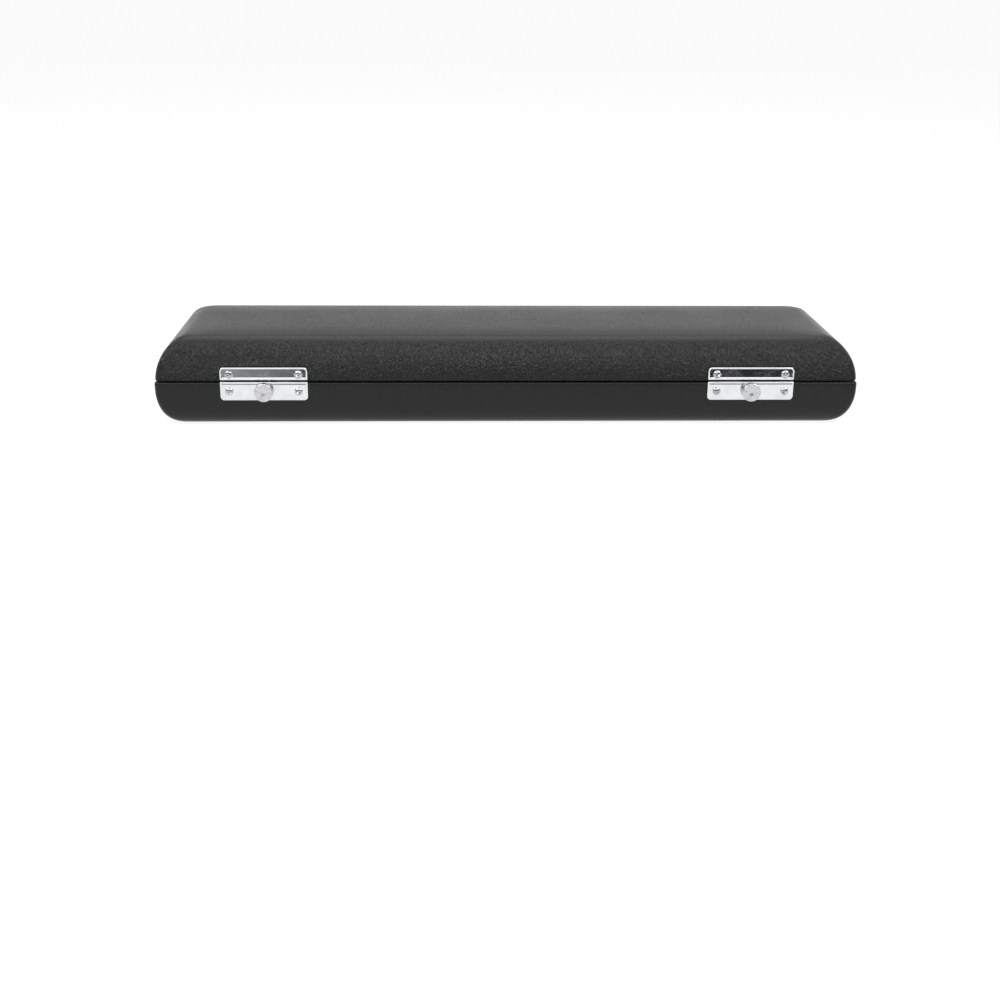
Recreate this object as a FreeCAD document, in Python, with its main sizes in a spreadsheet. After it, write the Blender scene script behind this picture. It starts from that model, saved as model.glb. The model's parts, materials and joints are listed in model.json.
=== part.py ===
import FreeCAD, Part
import math
import os
import re
import Sketcher

# A hard-shell flute case with a hinged lid and two sliding latches.
# Millimetres, +Z up, +X along the case to the right, -Y to the front.
# The origin is the centre of the flat bottom that the case rests on.

sizes = {
    "Case halves": {
        "case_length": 400.0,  # lid length at its rim
        "case_width": 115.0,  # lid width at its rim
        "base_overhang": 0.5,  # how far the base stands out past the lid all round
        "base_height": 25.85,  # floor to the base rim
        "seam_gap": 0.3,  # open seam between the two rims
        "lid_height": 23.85,  # lid rim to the middle of its top
        "lid_crown": 0.6,  # rise of the top inside the rounded edge
        "crown_reach": 25.0,  # how far in from the rounded edge the rise ends
        "base_curve_in": 11.5,  # rounded lower edge, across
        "base_curve_up": 21.7,  # rounded lower edge, upwards
        "lid_curve_in": 17.5,  # rounded upper edge, across
        "rim_corner": 2.5,  # corner radius of both rims
        "base_floor_corner": 7.7,  # corner radius of the flat bottom
        "lid_top_corner": 9.3,  # corner radius where the top begins
    },
    "Wraps and padding": {
        "wrap_thickness": 1.0,  # leatherette skin with its backing
        "glue_gap": 0.1,  # glue line between two layers
        "rim_round": 0.9,  # round of the turned edge at each rim
        "return_gap": 0.3,  # turned-in edge of the base wrap to the cradle's lip
        "return_corner": 3.0,  # corner radius of the turned-in edge
        "padding_thickness": 2.5,  # foam on top of the lid shell
    },
    "Shells": {
        "shell_wall": 4.0,  # side walls
        "base_floor": 4.0,  # floor of the base
        "lid_ceiling": 4.0,  # top board of the lid
        "cavity_corner": 4.0,  # inner corner radius at the rim
        "cavity_floor_corner": 7.0,  # inner corner radius at the floor
    },
    "Lining and cushion": {
        "lining_thickness": 0.9,  # plush inside the lid
        "cushion_edge_gap": 6.0,  # pad to the edge of the lid's flat ceiling
        "cushion_thickness": 3.0,  # pad from ceiling to face
        "cushion_bulge": 2.0,  # how far its sides stand out at half height
        "cushion_draw": 6.0,  # how far its face draws in at the edge
        "cushion_corner": 10.0,  # corner radius of the pad
    },
    "Cradle": {
        "plush_thickness": 1.1,  # pile cloth over the cradle
        "plush_side_gap": 1.0,  # cradle lip to the lid lining
        "lip_height": 2.0,  # how far the block stands above the base rim
        "lip_corner": 4.0,  # corner radius of the raised lip
        "cradle_floor": 3.1,  # block under a trough
        "trough_side_wall": 5.5,  # cradle's long edge to a trough
        "trough_round": 13.0,  # round along a trough's bottom
        "trough_end_wall": 10.0,  # cradle's end to a trough
        "head_trough_length": 224.0,  # room for the head joint
        "trough_wall": 5.0,  # wall between head trough and foot trough
        "groove_width": 7.0,  # groove for the cleaning rod
        "groove_depth": 10.0,  # groove for the cleaning rod
        "groove_wall": 4.4,  # between the groove and each long trough
        "groove_end_wall": 25.0,  # cradle's end to the groove
        "groove_round": 3.4,  # round along the groove's bottom
        "mouth_corner": 0.5,  # corner of a profile above the cradle's surface
    },
    "Latch plates": {
        "latch_end_distance": 61.4,  # middle of a latch to the lid's end
        "plate_width": 49.5,  # both plates
        "latch_plate_height": 10.7,  # lower plate
        "latch_plate_rise": 0.5,  # top of the lower plate above the seam's middle
        "latch_plate_proud": 1.0,  # face of the lower plate in front of the base
        "strike_plate_height": 7.3,  # upper plate
        "strike_plate_rise": 1.5,  # foot of the upper plate above the seam's middle
        "strike_plate_proud": 1.3,  # face of the upper plate in front of the lid
        "plate_sheet": 0.8,  # sheet of the pressed plates
        "plate_corner": 2.2,  # corners away from the seam
        "plate_seam_corner": 0.6,  # corners at the seam
        "plate_edge_round": 0.6,  # pressed edge of the face
        "plate_fit": 0.15,  # gap round a plate in the wrap
        "latch_seat": 0.6,  # flat cut in the base shell behind the lower plate
        "strike_seat": 1.2,  # flat cut in the lid shell behind the upper plate
        "panel_border": 1.2,  # rim round the sunk panel of the upper plate
        "panel_lip": 1.4,  # rim under the sunk panel
        "panel_depth": 0.35,  # depth of the sunk panel
        "panel_corner": 1.1,  # corners of the sunk panel
    },
    "Latch works": {
        "working_gap": 0.3,  # clearance between parts that pass each other
        "slide_travel": 3.0,  # how far the slide moves to let go
        "slide_thickness": 2.7,  # front to back
        "slide_length": 15.0,  # without its nose
        "slide_height": 5.0,  # top to bottom
        "slide_side_gap": 0.45,  # slide to the tongue's edge
        "nose_reach": 2.2,  # how far the nose holds the tongue
        "nose_height": 2.4,  # top to bottom
        "edge_break": 0.3,  # small round on the slide's edges
        "back_plate_thickness": 0.6,  # steel strip behind the slide
        "back_plate_gap": 0.1,  # gap round the strip
        "catch_thickness": 1.2,  # sheet of the catch plate
        "tongue_width": 7.5,  # tongue of the catch plate
        "tongue_offset": 10.8,  # middle of the plate to the tongue, towards the case's middle
        "tongue_end": 1.25,  # tongue below the notch that the nose enters
        "tongue_side_gap": 0.4,  # tongue to its slot, sideways
        "tongue_bevel": 1.2,  # lead-in at the tongue's end
        "channel_wall": 1.55,  # spring channel to the plate's outer screw
        "spring_radius": 1.1,  # middle of the wire to the spring's axis
        "spring_wire": 0.2,  # wire radius
        "spring_end_gap": 0.06,  # spring end to its seat
    },
    "Knob": {
        "knob_radius": 5.25,  # button
        "knob_thickness": 3.7,  # button
        "knob_chamfer": 0.45,  # edge of its face
        "knob_gap": 0.3,  # behind the button
        "shank_radius": 1.75,  # shank through the plate
        "shank_gap": 0.25,  # shank to its slot
        "slot_flat": 0.06,  # straight part of the slot's ends
        "shank_fit": 0.05,  # shank in the slide's bore
        "bore_depth": 1.5,  # bore in the slide
    },
    "Screws": {
        "screw_edge": 5.2,  # plate's end to its screw
        "strike_screw_height": 3.4,  # upper row above the foot of its plate
        "screw_head_radius": 2.25,  # round head
        "screw_head_height": 1.3,  # round head
        "screw_shank_radius": 1.0,  # thread
        "screw_length": 5.0,  # under the head
        "screw_hole_gap": 0.15,  # screw in a plate's hole
        "pilot_gap": 0.05,  # screw in the shell
        "recess_length": 2.6,  # cross recess
        "recess_width": 0.6,  # cross recess
        "recess_depth": 0.7,  # cross recess
    },
    "Hinges": {
        "hinge_end_distance": 75.0,  # middle of a hinge to the lid's end
        "hinge_width": 30.0,  # along the case
        "barrel_radius": 2.0,  # knuckles
        "barrel_sink": 1.3,  # knuckles into the base's back
        "pin_radius": 1.0,  # hinge pin
        "pin_clearance": 0.04,  # pin in the knuckles
        "pin_chamfer": 0.2,  # ends of the pin
        "side_knuckle": 8.0,  # length of each outer knuckle
        "knuckle_gap": 0.3,  # between knuckles
        "leaf_thickness": 1.2,  # both leaves
        "base_leaf_drop": 10.5,  # foot of the base leaf below the seam's middle
        "lid_leaf_rise": 10.0,  # top of the lid leaf above the seam's middle
        "leaf_corner": 1.5,  # corners away from the seam
        "base_hinge_seat": 0.6,  # flat cut in the base shell
        "lid_hinge_seat": 1.2,  # flat cut in the lid shell
        "neck_rise": 0.35,  # foot of the lid knuckle's neck above the seam's middle
        "neck_overlap": 0.4,  # neck into the leaf
        "stop_reach": 3.6,  # stop lug behind the pin's axis
        "stop_drop": 1.2,  # stop lug below the pin's axis
        "stop_corner": 0.4,  # corners of the stop lug
        "hinge_screw_edge": 5.5,  # leaf's end to its screw
        "hinge_screw_offset": 6.3,  # screw row to the seam's middle
        "hinge_head_radius": 1.9,  # screw head
        "hinge_head_height": 0.8,  # screw head
        "hinge_screw_length": 3.6,  # under the head
        "hinge_recess_depth": 0.45,  # cross recess
    },
    "Cutting": {
        "overrun": 6.0,  # how far a cut runs past the face it starts from
    },
}

# Sizes, levels and faces that follow from the ones above. Levels run upwards from the bottom of the case.
# Faces are distances from the case's middle plane, forwards for the latches and backwards for the hinges.
# Places within a latch or a hinge run from its own middle and from the seam.
worked_out = {
    "lid_rim": "base_height + seam_gap",
    "seam": "base_height + seam_gap / 2",
    "skin": "wrap_thickness + glue_gap",
    "base_front": "case_width / 2 + base_overhang",
    "lid_front": "case_width / 2",
    "lid_curve_up": "lid_height - lid_crown",
    "padding_level": "lid_rim + lid_curve_up - skin - padding_thickness",
    "base_cavity": "skin + shell_wall",
    "lid_cavity_drop": "skin + padding_thickness + glue_gap + lid_ceiling",
    "lid_return": "base_cavity + lining_thickness",
    "cushion_inset": "lid_curve_in + cushion_edge_gap",

    "lip_half_gap": "base_cavity + glue_gap + lining_thickness + plush_side_gap",
    "base_return": "base_overhang + lip_half_gap - return_gap",
    "plush_top": "base_height + lip_height + glue_gap + plush_thickness",
    "trough_depth": "plush_top - skin - base_floor - 2 * glue_gap - cradle_floor - plush_thickness",
    "trough_inside": "groove_width / 2 + groove_wall",
    "trough_width": "case_width / 2 - lip_half_gap - trough_side_wall - trough_inside",
    "trough_offset": "trough_inside + trough_width / 2",
    "body_trough_length": "case_length - 2 * (lip_half_gap + trough_end_wall)",
    "foot_trough_length": "body_trough_length - head_trough_length - trough_wall",
    "groove_length": "case_length - 2 * (lip_half_gap + groove_end_wall)",

    "latch_place": "case_length / 2 - latch_end_distance",
    "latch_middle": "latch_plate_height / 2 - latch_plate_rise",
    "latch_face": "base_front + latch_plate_proud",
    "latch_seat_face": "base_front - skin - latch_seat",
    "slide_face": "latch_face - plate_sheet - working_gap",
    "back_plate_face": "slide_face - slide_thickness - working_gap",
    "channel_floor": "back_plate_face - back_plate_thickness",
    "strike_face": "lid_front + strike_plate_proud",
    "strike_seat_face": "lid_front - skin - strike_seat",
    "catch_face": "strike_seat_face + catch_thickness",
    "screw_spacing": "plate_width - 2 * screw_edge",
    "strike_screw_rise": "strike_plate_rise + strike_screw_height",
    "pilot": "screw_shank_radius + pilot_gap",
    "screw_hole": "screw_shank_radius + screw_hole_gap",

    "tongue_inner": "tongue_offset + tongue_width / 2",
    "tongue_outer": "tongue_offset - tongue_width / 2",
    "tongue_drop": "latch_middle + nose_height / 2 + working_gap + tongue_end",
    "slide_inner": "tongue_outer - slide_side_gap",
    "slide_outer": "slide_length - slide_inner",
    "channel_inner": "tongue_inner + tongue_side_gap",
    "channel_outer": "screw_spacing / 2 - screw_shank_radius - channel_wall",
    "spring_room": "channel_outer - slide_outer",

    "hinge_place": "case_length / 2 - hinge_end_distance",
    "hinge_screw_spacing": "hinge_width - 2 * hinge_screw_edge",
    "hinge_axis": "base_front + barrel_radius - barrel_sink",
    "base_leaf_seat": "base_front - skin - base_hinge_seat",
    "lid_leaf_seat": "lid_front - skin - lid_hinge_seat",
    "middle_knuckle": "hinge_width - 2 * side_knuckle - 2 * knuckle_gap",
}

# Degrees of the lid's opening and of the steps round the case's rounded edges.
lid_open_angle = 105
edge_angles = (15, 30, 45, 60, 75, 90)

# The crown's sections as shares of its reach and rise.
crown_shares = ((0.25, 0.44), (0.6, 0.84), (1.0, 1.0))

# The pad's sections as shares of its bulge, draw and thickness.
cushion_shares = ((0.0, 0.0, 0.0), (1.0, 0.0, 0.35), (0.5, 0.0, 0.6), (0.0, 0.25, 0.8), (0.0, 1.0, 0.92),
                  (0.0, 3.5, 1.0))
spring_turns = 8

# Two levels within this distance, in millimetres, are the same level.
near = 0.001

doc = FreeCAD.newDocument("FluteCase")
sheet = doc.addObject("Spreadsheet::Sheet", "Sizes")
aliases = set()


def fill_sheet():
    row = 1
    for heading, entries in sizes.items():
        sheet.set(f"A{row}", heading)
        row += 1
        for alias, value in entries.items():
            sheet.set(f"A{row}", alias)
            sheet.set(f"B{row}", str(value))
            sheet.setAlias(f"B{row}", alias)
            aliases.add(alias)
            row += 1
    doc.recompute()


fill_sheet()


def in_sheet(text):
    """A size's name becomes a reference to its cell, and a worked-out name becomes what it follows from."""
    def look_up(word):
        name = word[0]
        if name in worked_out:
            return f"({in_sheet(worked_out[name])})"
        return "Sizes." + name if name in aliases else name

    return re.sub(r"[a-z][a-z_]*", look_up, text)


def bind(thing, **properties):
    for name, text in properties.items():
        thing.setExpression(name, in_sheet(text))


class Half:
    """Outer form of one half of the case: its footprint at the rim and the rounded edge beyond it."""

    def __init__(self, length, width, rim, curve_in, curve_up, straight, far_corner, sign):
        self.length = length
        self.width = width
        self.rim = rim
        self.curve_in = curve_in
        self.curve_up = curve_up
        self.straight = straight
        self.far_corner = far_corner
        self.sign = sign


base_half = Half(
    "(case_length + 2 * base_overhang)", "(case_width + 2 * base_overhang)", "base_height",
    "base_curve_in", "base_curve_up", "(base_height - base_curve_up)", "base_floor_corner", "-")
lid_half = Half(
    "case_length", "case_width", "lid_rim",
    "lid_curve_in", "lid_curve_up", None, "lid_top_corner", "+")


def new_body(name, x=None, z=None):
    body = doc.addObject("PartDesign::Body", name)
    body.Label = name
    body.AllowCompound = True
    if x:
        bind(body, **{"Placement.Base.x": x})
    if z:
        bind(body, **{"Placement.Base.z": z})
    return body


def new_sketch(body, name, plane, x, y, away):
    """A sketch on one of the body's own planes: XY seen from above, XZ from the front, YZ from the right."""
    sketch = body.newObject("Sketcher::SketchObject", name)
    support = next(f for f in body.Origin.OriginFeatures if f.Role == plane + "_Plane")
    sketch.AttachmentSupport = [(support, "")]
    sketch.MapMode = "FlatFace"
    offset = "AttachmentOffset.Base."
    bind(sketch, **{offset + "x": x, offset + "y": y, offset + "z": away})
    return sketch


def name_constraint(sketch, name, constraint, text):
    index = sketch.addConstraint(constraint)
    sketch.renameConstraint(index, name)
    sketch.setExpression("Constraints." + name, in_sheet(text))


def outline(body, name, plane, width, height, x="0", y="0", away="0", corner=None, top_corner=None):
    """A rectangle centred on (x, y), its corners round where a radius is given for them or for the top."""
    sketch = new_sketch(body, name, plane, x, y, away)
    place = FreeCAD.Vector
    rule = Sketcher.Constraint
    # The lines start at these sizes, and the named constraints then set the real ones.
    half = 20.0
    low = 10.0
    round_by = 2.0
    if corner is None:
        points = [place(-half, -low), place(half, -low), place(half, low), place(-half, low)]
        for number in range(4):
            sketch.addGeometry(Part.LineSegment(points[number], points[(number + 1) % 4]), False)
        for number in range(4):
            sketch.addConstraint(rule("Coincident", number, 2, (number + 1) % 4, 1))
        bottom, right, top, left = 0, 1, 2, 3
    else:
        up = place(0, 0, 1)
        inner, inner_low = half - round_by, low - round_by
        quarter = math.pi / 2
        corners = [(inner, -inner_low, -quarter), (inner, inner_low, 0.0),
                   (-inner, inner_low, quarter), (-inner, -inner_low, 2 * quarter)]
        sides = [(place(-inner, -low), place(inner, -low)),
                 (place(half, -inner_low), place(half, inner_low)),
                 (place(inner, low), place(-inner, low)),
                 (place(-half, inner_low), place(-half, -inner_low))]
        for (start, end), (cx, cy, angle) in zip(sides, corners):
            sketch.addGeometry(Part.LineSegment(start, end), False)
            ring = Part.Circle(place(cx, cy), up, round_by)
            sketch.addGeometry(Part.ArcOfCircle(ring, angle, angle + quarter), False)
        for number in range(8):
            sketch.addConstraint(rule("Tangent", number, 2, (number + 1) % 8, 1))
        bottom, right, top, left = 0, 2, 4, 6
        sketch.addConstraint([rule("Equal", 1, 7), rule("Equal", 3, 5)])
        name_constraint(sketch, "corner", rule("Radius", 1, round_by), corner)
        name_constraint(sketch, "top_corner", rule("Radius", 3, round_by), top_corner or corner)
    sketch.addConstraint([rule("Horizontal", bottom), rule("Vertical", right),
                          rule("Horizontal", top), rule("Vertical", left)])
    name_constraint(sketch, "width", rule("DistanceX", left, 1, right, 1, 2 * half), width)
    name_constraint(sketch, "height", rule("DistanceY", bottom, 1, top, 1, 2 * low), height)
    name_constraint(sketch, "half_width", rule("DistanceX", -1, 1, right, 1, half), f"({width}) / 2")
    name_constraint(sketch, "half_height", rule("DistanceY", -1, 1, top, 1, low), f"({height}) / 2")
    return sketch


def disc(body, name, plane, radius, x="0", y="0", away="0"):
    sketch = new_sketch(body, name, plane, x, y, away)
    first_radius = 5.0
    sketch.addGeometry(Part.Circle(FreeCAD.Vector(0, 0), FreeCAD.Vector(0, 0, 1), first_radius), False)
    sketch.addConstraint(Sketcher.Constraint("Coincident", 0, 3, -1, 1))
    name_constraint(sketch, "radius", Sketcher.Constraint("Radius", 0, first_radius), radius)
    return sketch


def pad(body, sketch, length, backwards=False):
    feature = body.newObject("PartDesign::Pad", sketch.Name + "_pad")
    feature.Profile = (sketch, [""])
    feature.Reversed = backwards
    bind(feature, Length=length)
    return feature


def pocket(body, sketch, length, forwards=False):
    """A cut from the sketch against its normal: down, back or to the left. Forwards turns it round."""
    feature = body.newObject("PartDesign::Pocket", sketch.Name + "_pocket")
    feature.Profile = (sketch, [""])
    feature.Reversed = forwards
    bind(feature, Length=length)
    return feature


def first_edges(body, feature, axis):
    """The feature's edges in the plane of the body's first sketch, which is square to the axis."""
    doc.recompute()
    level = getattr(body.Group[0].Placement.Base, axis)
    names = []
    for number, edge in enumerate(feature.Shape.Edges, 1):
        box = edge.BoundBox
        ends = {"y": (box.YMin, box.YMax), "z": (box.ZMin, box.ZMax)}[axis]
        if max(abs(end - level) for end in ends) < near:
            names.append(f"Edge{number}")
    return names


def round_edges(body, feature, edges, radius, kind="Fillet"):
    rounded = body.newObject("PartDesign::" + kind, feature.Name + "_" + kind.lower())
    rounded.Base = (feature, edges)
    bind(rounded, **{"Radius" if kind == "Fillet" else "Size": radius})
    body.Tip = rounded
    return rounded


def mirror_features(body, features):
    """The same features again on the left of the case."""
    mirrored = body.newObject("PartDesign::Mirrored", body.Name + "_left")
    mirrored.Originals = features
    support = next(f for f in body.Origin.OriginFeatures if f.Role == "YZ_Plane")
    mirrored.MirrorPlane = (support, [""])
    body.Tip = mirrored
    return mirrored


def half_form(body, name, half, side, far, rim_corner, far_corner, crown=False, cut=False):
    """One layer of a case half: a loft round the edge, in from the outside by side and by far."""
    sections = []

    def section(inset, depth, corner):
        sections.append(outline(
            body, f"{name}_section_{len(sections)}", "XY",
            f"{half.length} - 2 * ({inset})", f"{half.width} - 2 * ({inset})",
            away=f"{half.rim} {half.sign} ({depth})", corner=corner))
        return sections[-1]

    if half.straight:
        section(side, "0", rim_corner)
    start = half.straight or "0"
    section(side, start, rim_corner)
    for angle in edge_angles:
        across = f"(1 - cos({angle} deg))"
        section(f"{side} + ({half.curve_in} - {side}) * {across}",
                f"{start} + ({half.curve_up} - {far}) * sin({angle} deg)",
                f"{rim_corner} + ({far_corner} - {rim_corner}) * {across}")
    kind = "PartDesign::SubtractiveLoft" if cut else "PartDesign::AdditiveLoft"
    loft = join_sections(body, name, kind, sections)
    if crown:
        rises = [sections[-1]]
        for across_share, up_share in crown_shares:
            rises.append(section(f"{half.curve_in} + crown_reach * {across_share}",
                                 f"{half.curve_up} - {far} + lid_crown * {up_share}", far_corner))
        loft = join_sections(body, name + "_crown", kind, rises, ruled=True)
    return loft


def join_sections(body, name, kind, sections, ruled=False):
    loft = body.newObject(kind, name)
    loft.Profile = (sections[0], [""])
    loft.Sections = [(sketch, [""]) for sketch in sections[1:]]
    loft.Ruled = ruled
    return loft


def trim_rim(body, half, depth):
    """Takes the edge of a layer back from the rim."""
    flat = outline(body, body.Name + "_rim", "XY", f"{half.length} + overrun", f"{half.width} + overrun",
                   away=half.rim)
    return pocket(body, flat, depth, forwards=half.sign == "+")


def window(body, name, width, low, high, deep_face, x="0", back=False):
    """A flat-bottomed cut into a front or back wall, between two levels, down to deep_face."""
    face = f"-{deep_face}" if back else f"({deep_face} + overrun)"
    cut = outline(body, name, "XZ", width, f"({high}) - ({low})", x=x, y=f"(({high}) + ({low})) / 2",
                  away=face)
    return pocket(body, cut, "overrun")


def hole_pair(body, name, spacing, x, level, radius, face, depth, back=False):
    """Two round holes either side of x."""
    cuts = []
    for side, sign in (("in", "-"), ("out", "+")):
        start = f"-({face} - {depth})" if back else face
        ring = disc(body, f"{name}_{side}", "XZ", radius, x=f"{x} {sign} {spacing} / 2", y=level, away=start)
        cuts.append(pocket(body, ring, depth))
    return cuts


def below_seam(length):
    return f"(seam - {length})"


def above_seam(length):
    return f"(seam + {length})"


def make_base_wrap():
    body = new_body("base_wrap")
    outer = half_form(body, "base_skin", base_half, "0", "0", "rim_corner", "base_floor_corner")
    round_edges(body, outer, first_edges(body, outer, "z"), "rim_round")
    half_form(body, "base_skin_inside", base_half, "wrap_thickness", "wrap_thickness",
              "(rim_corner - wrap_thickness)", "(base_floor_corner - wrap_thickness)", cut=True)
    return_ring(body, base_half, "base_return")
    cuts = [
        window(body, "latch_window", "plate_width + 2 * plate_fit",
               below_seam("(latch_plate_height - latch_plate_rise + plate_fit)"), above_seam("0"),
               "latch_seat_face", x="latch_place"),
        window(body, "tongue_slot", "tongue_width + 2 * tongue_side_gap",
               below_seam("(tongue_drop + tongue_side_gap)"), above_seam("0"),
               "back_plate_face", x="latch_place - tongue_offset"),
        window(body, "hinge_window", "hinge_width + 2 * knuckle_gap",
               below_seam("(base_leaf_drop + plate_fit)"), above_seam("0"),
               "base_leaf_seat", x="hinge_place", back=True),
    ]
    mirror_features(body, cuts)
    return body


def return_ring(body, half, reach):
    """The turned-in edge of a wrap over its rim."""
    edge = "(wrap_thickness + rim_round) / 2"
    plate = outline(body, body.Name + "_return", "XY", f"{half.length} - 2 * {edge}",
                    f"{half.width} - 2 * {edge}", away=half.rim, corner=f"rim_corner - {edge}")
    pad(body, plate, "wrap_thickness", backwards=half.sign == "-")
    opening = outline(body, body.Name + "_opening", "XY", f"{half.length} - 2 * {reach}",
                      f"{half.width} - 2 * {reach}", away=half.rim, corner="return_corner")
    pocket(body, opening, "wrap_thickness", forwards=half.sign == "+")


def make_base_shell():
    body = new_body("base_shell")
    half_form(body, "base_board", base_half, "skin", "skin",
              "(rim_corner - skin)", "(base_floor_corner - skin)")
    half_form(body, "base_cavity", base_half, "base_cavity", "(skin + base_floor)",
              "cavity_corner", "cavity_floor_corner", cut=True)
    trim_rim(body, base_half, "skin")
    cuts = [
        window(body, "latch_seat_cut", "plate_width + 2 * plate_fit",
               below_seam("(latch_plate_height - latch_plate_rise + plate_fit)"), above_seam("0"),
               "latch_seat_face", x="latch_place"),
        window(body, "slide_channel", "channel_inner + channel_outer",
               below_seam("(latch_middle + slide_height / 2 + working_gap)"),
               below_seam("(latch_middle - slide_height / 2 - working_gap)"),
               "channel_floor", x="latch_place + (channel_outer - channel_inner) / 2"),
        window(body, "tongue_slot", "tongue_width + 2 * tongue_side_gap",
               below_seam("(tongue_drop + tongue_side_gap)"), above_seam("0"),
               "back_plate_face", x="latch_place - tongue_offset"),
        window(body, "hinge_seat_cut", "hinge_width + 2 * knuckle_gap",
               below_seam("(base_leaf_drop + plate_fit)"), above_seam("0"),
               "base_leaf_seat", x="hinge_place", back=True),
    ]
    cuts += hole_pair(body, "latch_pilot", "screw_spacing", "latch_place", below_seam("latch_middle"),
                      "pilot", "latch_seat_face",
                      "(latch_seat_face - latch_face + screw_length + pilot_gap)")
    cuts += hole_pair(body, "hinge_pilot", "hinge_screw_spacing", "hinge_place",
                      below_seam("hinge_screw_offset"), "pilot", "base_leaf_seat",
                      "(hinge_screw_length - leaf_thickness + pilot_gap)", back=True)
    mirror_features(body, cuts)
    return body


def make_lid_wrap():
    body = new_body("lid_wrap")
    outer = half_form(body, "lid_skin", lid_half, "0", "0", "rim_corner", "lid_top_corner", crown=True)
    round_edges(body, outer, first_edges(body, outer, "z"), "rim_round")
    half_form(body, "lid_skin_inside", lid_half, "wrap_thickness", "wrap_thickness",
              "(rim_corner - wrap_thickness)", "(lid_top_corner - wrap_thickness)", crown=True, cut=True)
    return_ring(body, lid_half, "lid_return")
    cuts = [
        window(body, "strike_window", "plate_width + 2 * plate_fit",
               above_seam("(strike_plate_rise - plate_fit)"),
               above_seam("(strike_plate_rise + strike_plate_height + plate_fit)"),
               "strike_seat_face", x="latch_place"),
        window(body, "tongue_notch", "tongue_width + 2 * tongue_side_gap",
               above_seam("0"), above_seam("strike_plate_rise"),
               "(strike_seat_face - working_gap)", x="latch_place - tongue_offset"),
        window(body, "hinge_window", "hinge_width + 2 * knuckle_gap",
               above_seam("0"), above_seam("(lid_leaf_rise + plate_fit)"),
               "lid_leaf_seat", x="hinge_place", back=True),
    ]
    mirror_features(body, cuts)
    return body


def make_lid_shell():
    body = new_body("lid_shell")
    half_form(body, "lid_board", lid_half, "skin", "skin",
              "(rim_corner - skin)", "(lid_top_corner - skin)")
    top = outline(body, "lid_flat_top", "XY", "case_length", "case_width",
                  away="padding_level - glue_gap")
    pocket(body, top, "lid_height", forwards=True)
    half_form(body, "lid_cavity", lid_half, "base_cavity", "lid_cavity_drop",
              "cavity_corner", "cavity_floor_corner", cut=True)
    trim_rim(body, lid_half, "skin")
    cuts = [
        window(body, "strike_seat_cut", "plate_width + 2 * plate_fit",
               above_seam("(strike_plate_rise - plate_fit)"),
               above_seam("(strike_plate_rise + strike_plate_height + plate_fit)"),
               "strike_seat_face", x="latch_place"),
        window(body, "tongue_notch", "tongue_width + 2 * tongue_side_gap",
               above_seam("0"), above_seam("strike_plate_rise"),
               "(strike_seat_face - working_gap)", x="latch_place - tongue_offset"),
        window(body, "hinge_seat_cut", "hinge_width + 2 * knuckle_gap",
               above_seam("0"), above_seam("(lid_leaf_rise + plate_fit)"),
               "lid_leaf_seat", x="hinge_place", back=True),
    ]
    under_head = "(strike_face - panel_depth)"
    cuts += hole_pair(body, "strike_pilot", "screw_spacing", "latch_place", above_seam("strike_screw_rise"),
                      "pilot", "strike_seat_face",
                      f"(strike_seat_face - {under_head} + screw_length + pilot_gap)")
    cuts += hole_pair(body, "hinge_pilot", "hinge_screw_spacing", "hinge_place",
                      above_seam("hinge_screw_offset"), "pilot", "lid_leaf_seat",
                      "(hinge_screw_length - leaf_thickness + pilot_gap)", back=True)
    mirror_features(body, cuts)
    return body


def make_lid_padding():
    body = new_body("lid_padding")
    half_form(body, "lid_foam", lid_half, "skin", "skin",
              "(rim_corner - skin)", "(lid_top_corner - skin)", crown=True)
    flat = outline(body, "lid_foam_foot", "XY", "case_length", "case_width", away="padding_level")
    pocket(body, flat, "lid_height")
    return body


def make_lid_lining():
    body = new_body("lid_lining")
    outside = "(base_cavity + glue_gap)"
    inside = f"({outside} + lining_thickness)"
    far_outside = "(lid_cavity_drop + glue_gap)"
    far_inside = f"({far_outside} + lining_thickness)"
    half_form(body, "lining_outside", lid_half, outside, far_outside,
              "(cavity_corner - glue_gap)", "(cavity_floor_corner - glue_gap)")
    half_form(body, "lining_inside", lid_half, inside, far_inside,
              "(cavity_corner - glue_gap - lining_thickness)",
              "(cavity_floor_corner - glue_gap - lining_thickness)", cut=True)
    trim_rim(body, lid_half, "skin")
    return body


def make_lid_cushion():
    body = new_body("lid_cushion")
    lining_face = "(lid_rim + lid_curve_up - lid_cavity_drop - glue_gap - lining_thickness)"
    sections = []
    for bulge_share, draw_share, depth_share in cushion_shares:
        grow = f"(cushion_bulge * {bulge_share} - cushion_draw * {draw_share})"
        sections.append(outline(
            body, f"cushion_section_{len(sections)}", "XY",
            f"case_length - 2 * (cushion_inset - {grow})", f"case_width - 2 * (cushion_inset - {grow})",
            away=f"{lining_face} - 2 * glue_gap - cushion_thickness * {depth_share}",
            corner="cushion_corner"))
    join_sections(body, "cushion_form", "PartDesign::AdditiveLoft", sections, ruled=True)
    return body


# The cradle: a block with a raised lip, three joint troughs and a rod groove, and the plush that covers it.
troughs = {
    "body_trough": ("-trough_offset", "-body_trough_length / 2", "body_trough_length",
                    "trough_width", "trough_depth", "trough_round"),
    "head_trough": ("trough_offset", "-body_trough_length / 2", "head_trough_length",
                    "trough_width", "trough_depth", "trough_round"),
    "foot_trough": ("trough_offset", "body_trough_length / 2 - foot_trough_length", "foot_trough_length",
                    "trough_width", "trough_depth", "trough_round"),
    "rod_groove": ("0", "-groove_length / 2", "groove_length",
                   "groove_width", "groove_depth", "groove_round"),
}


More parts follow.
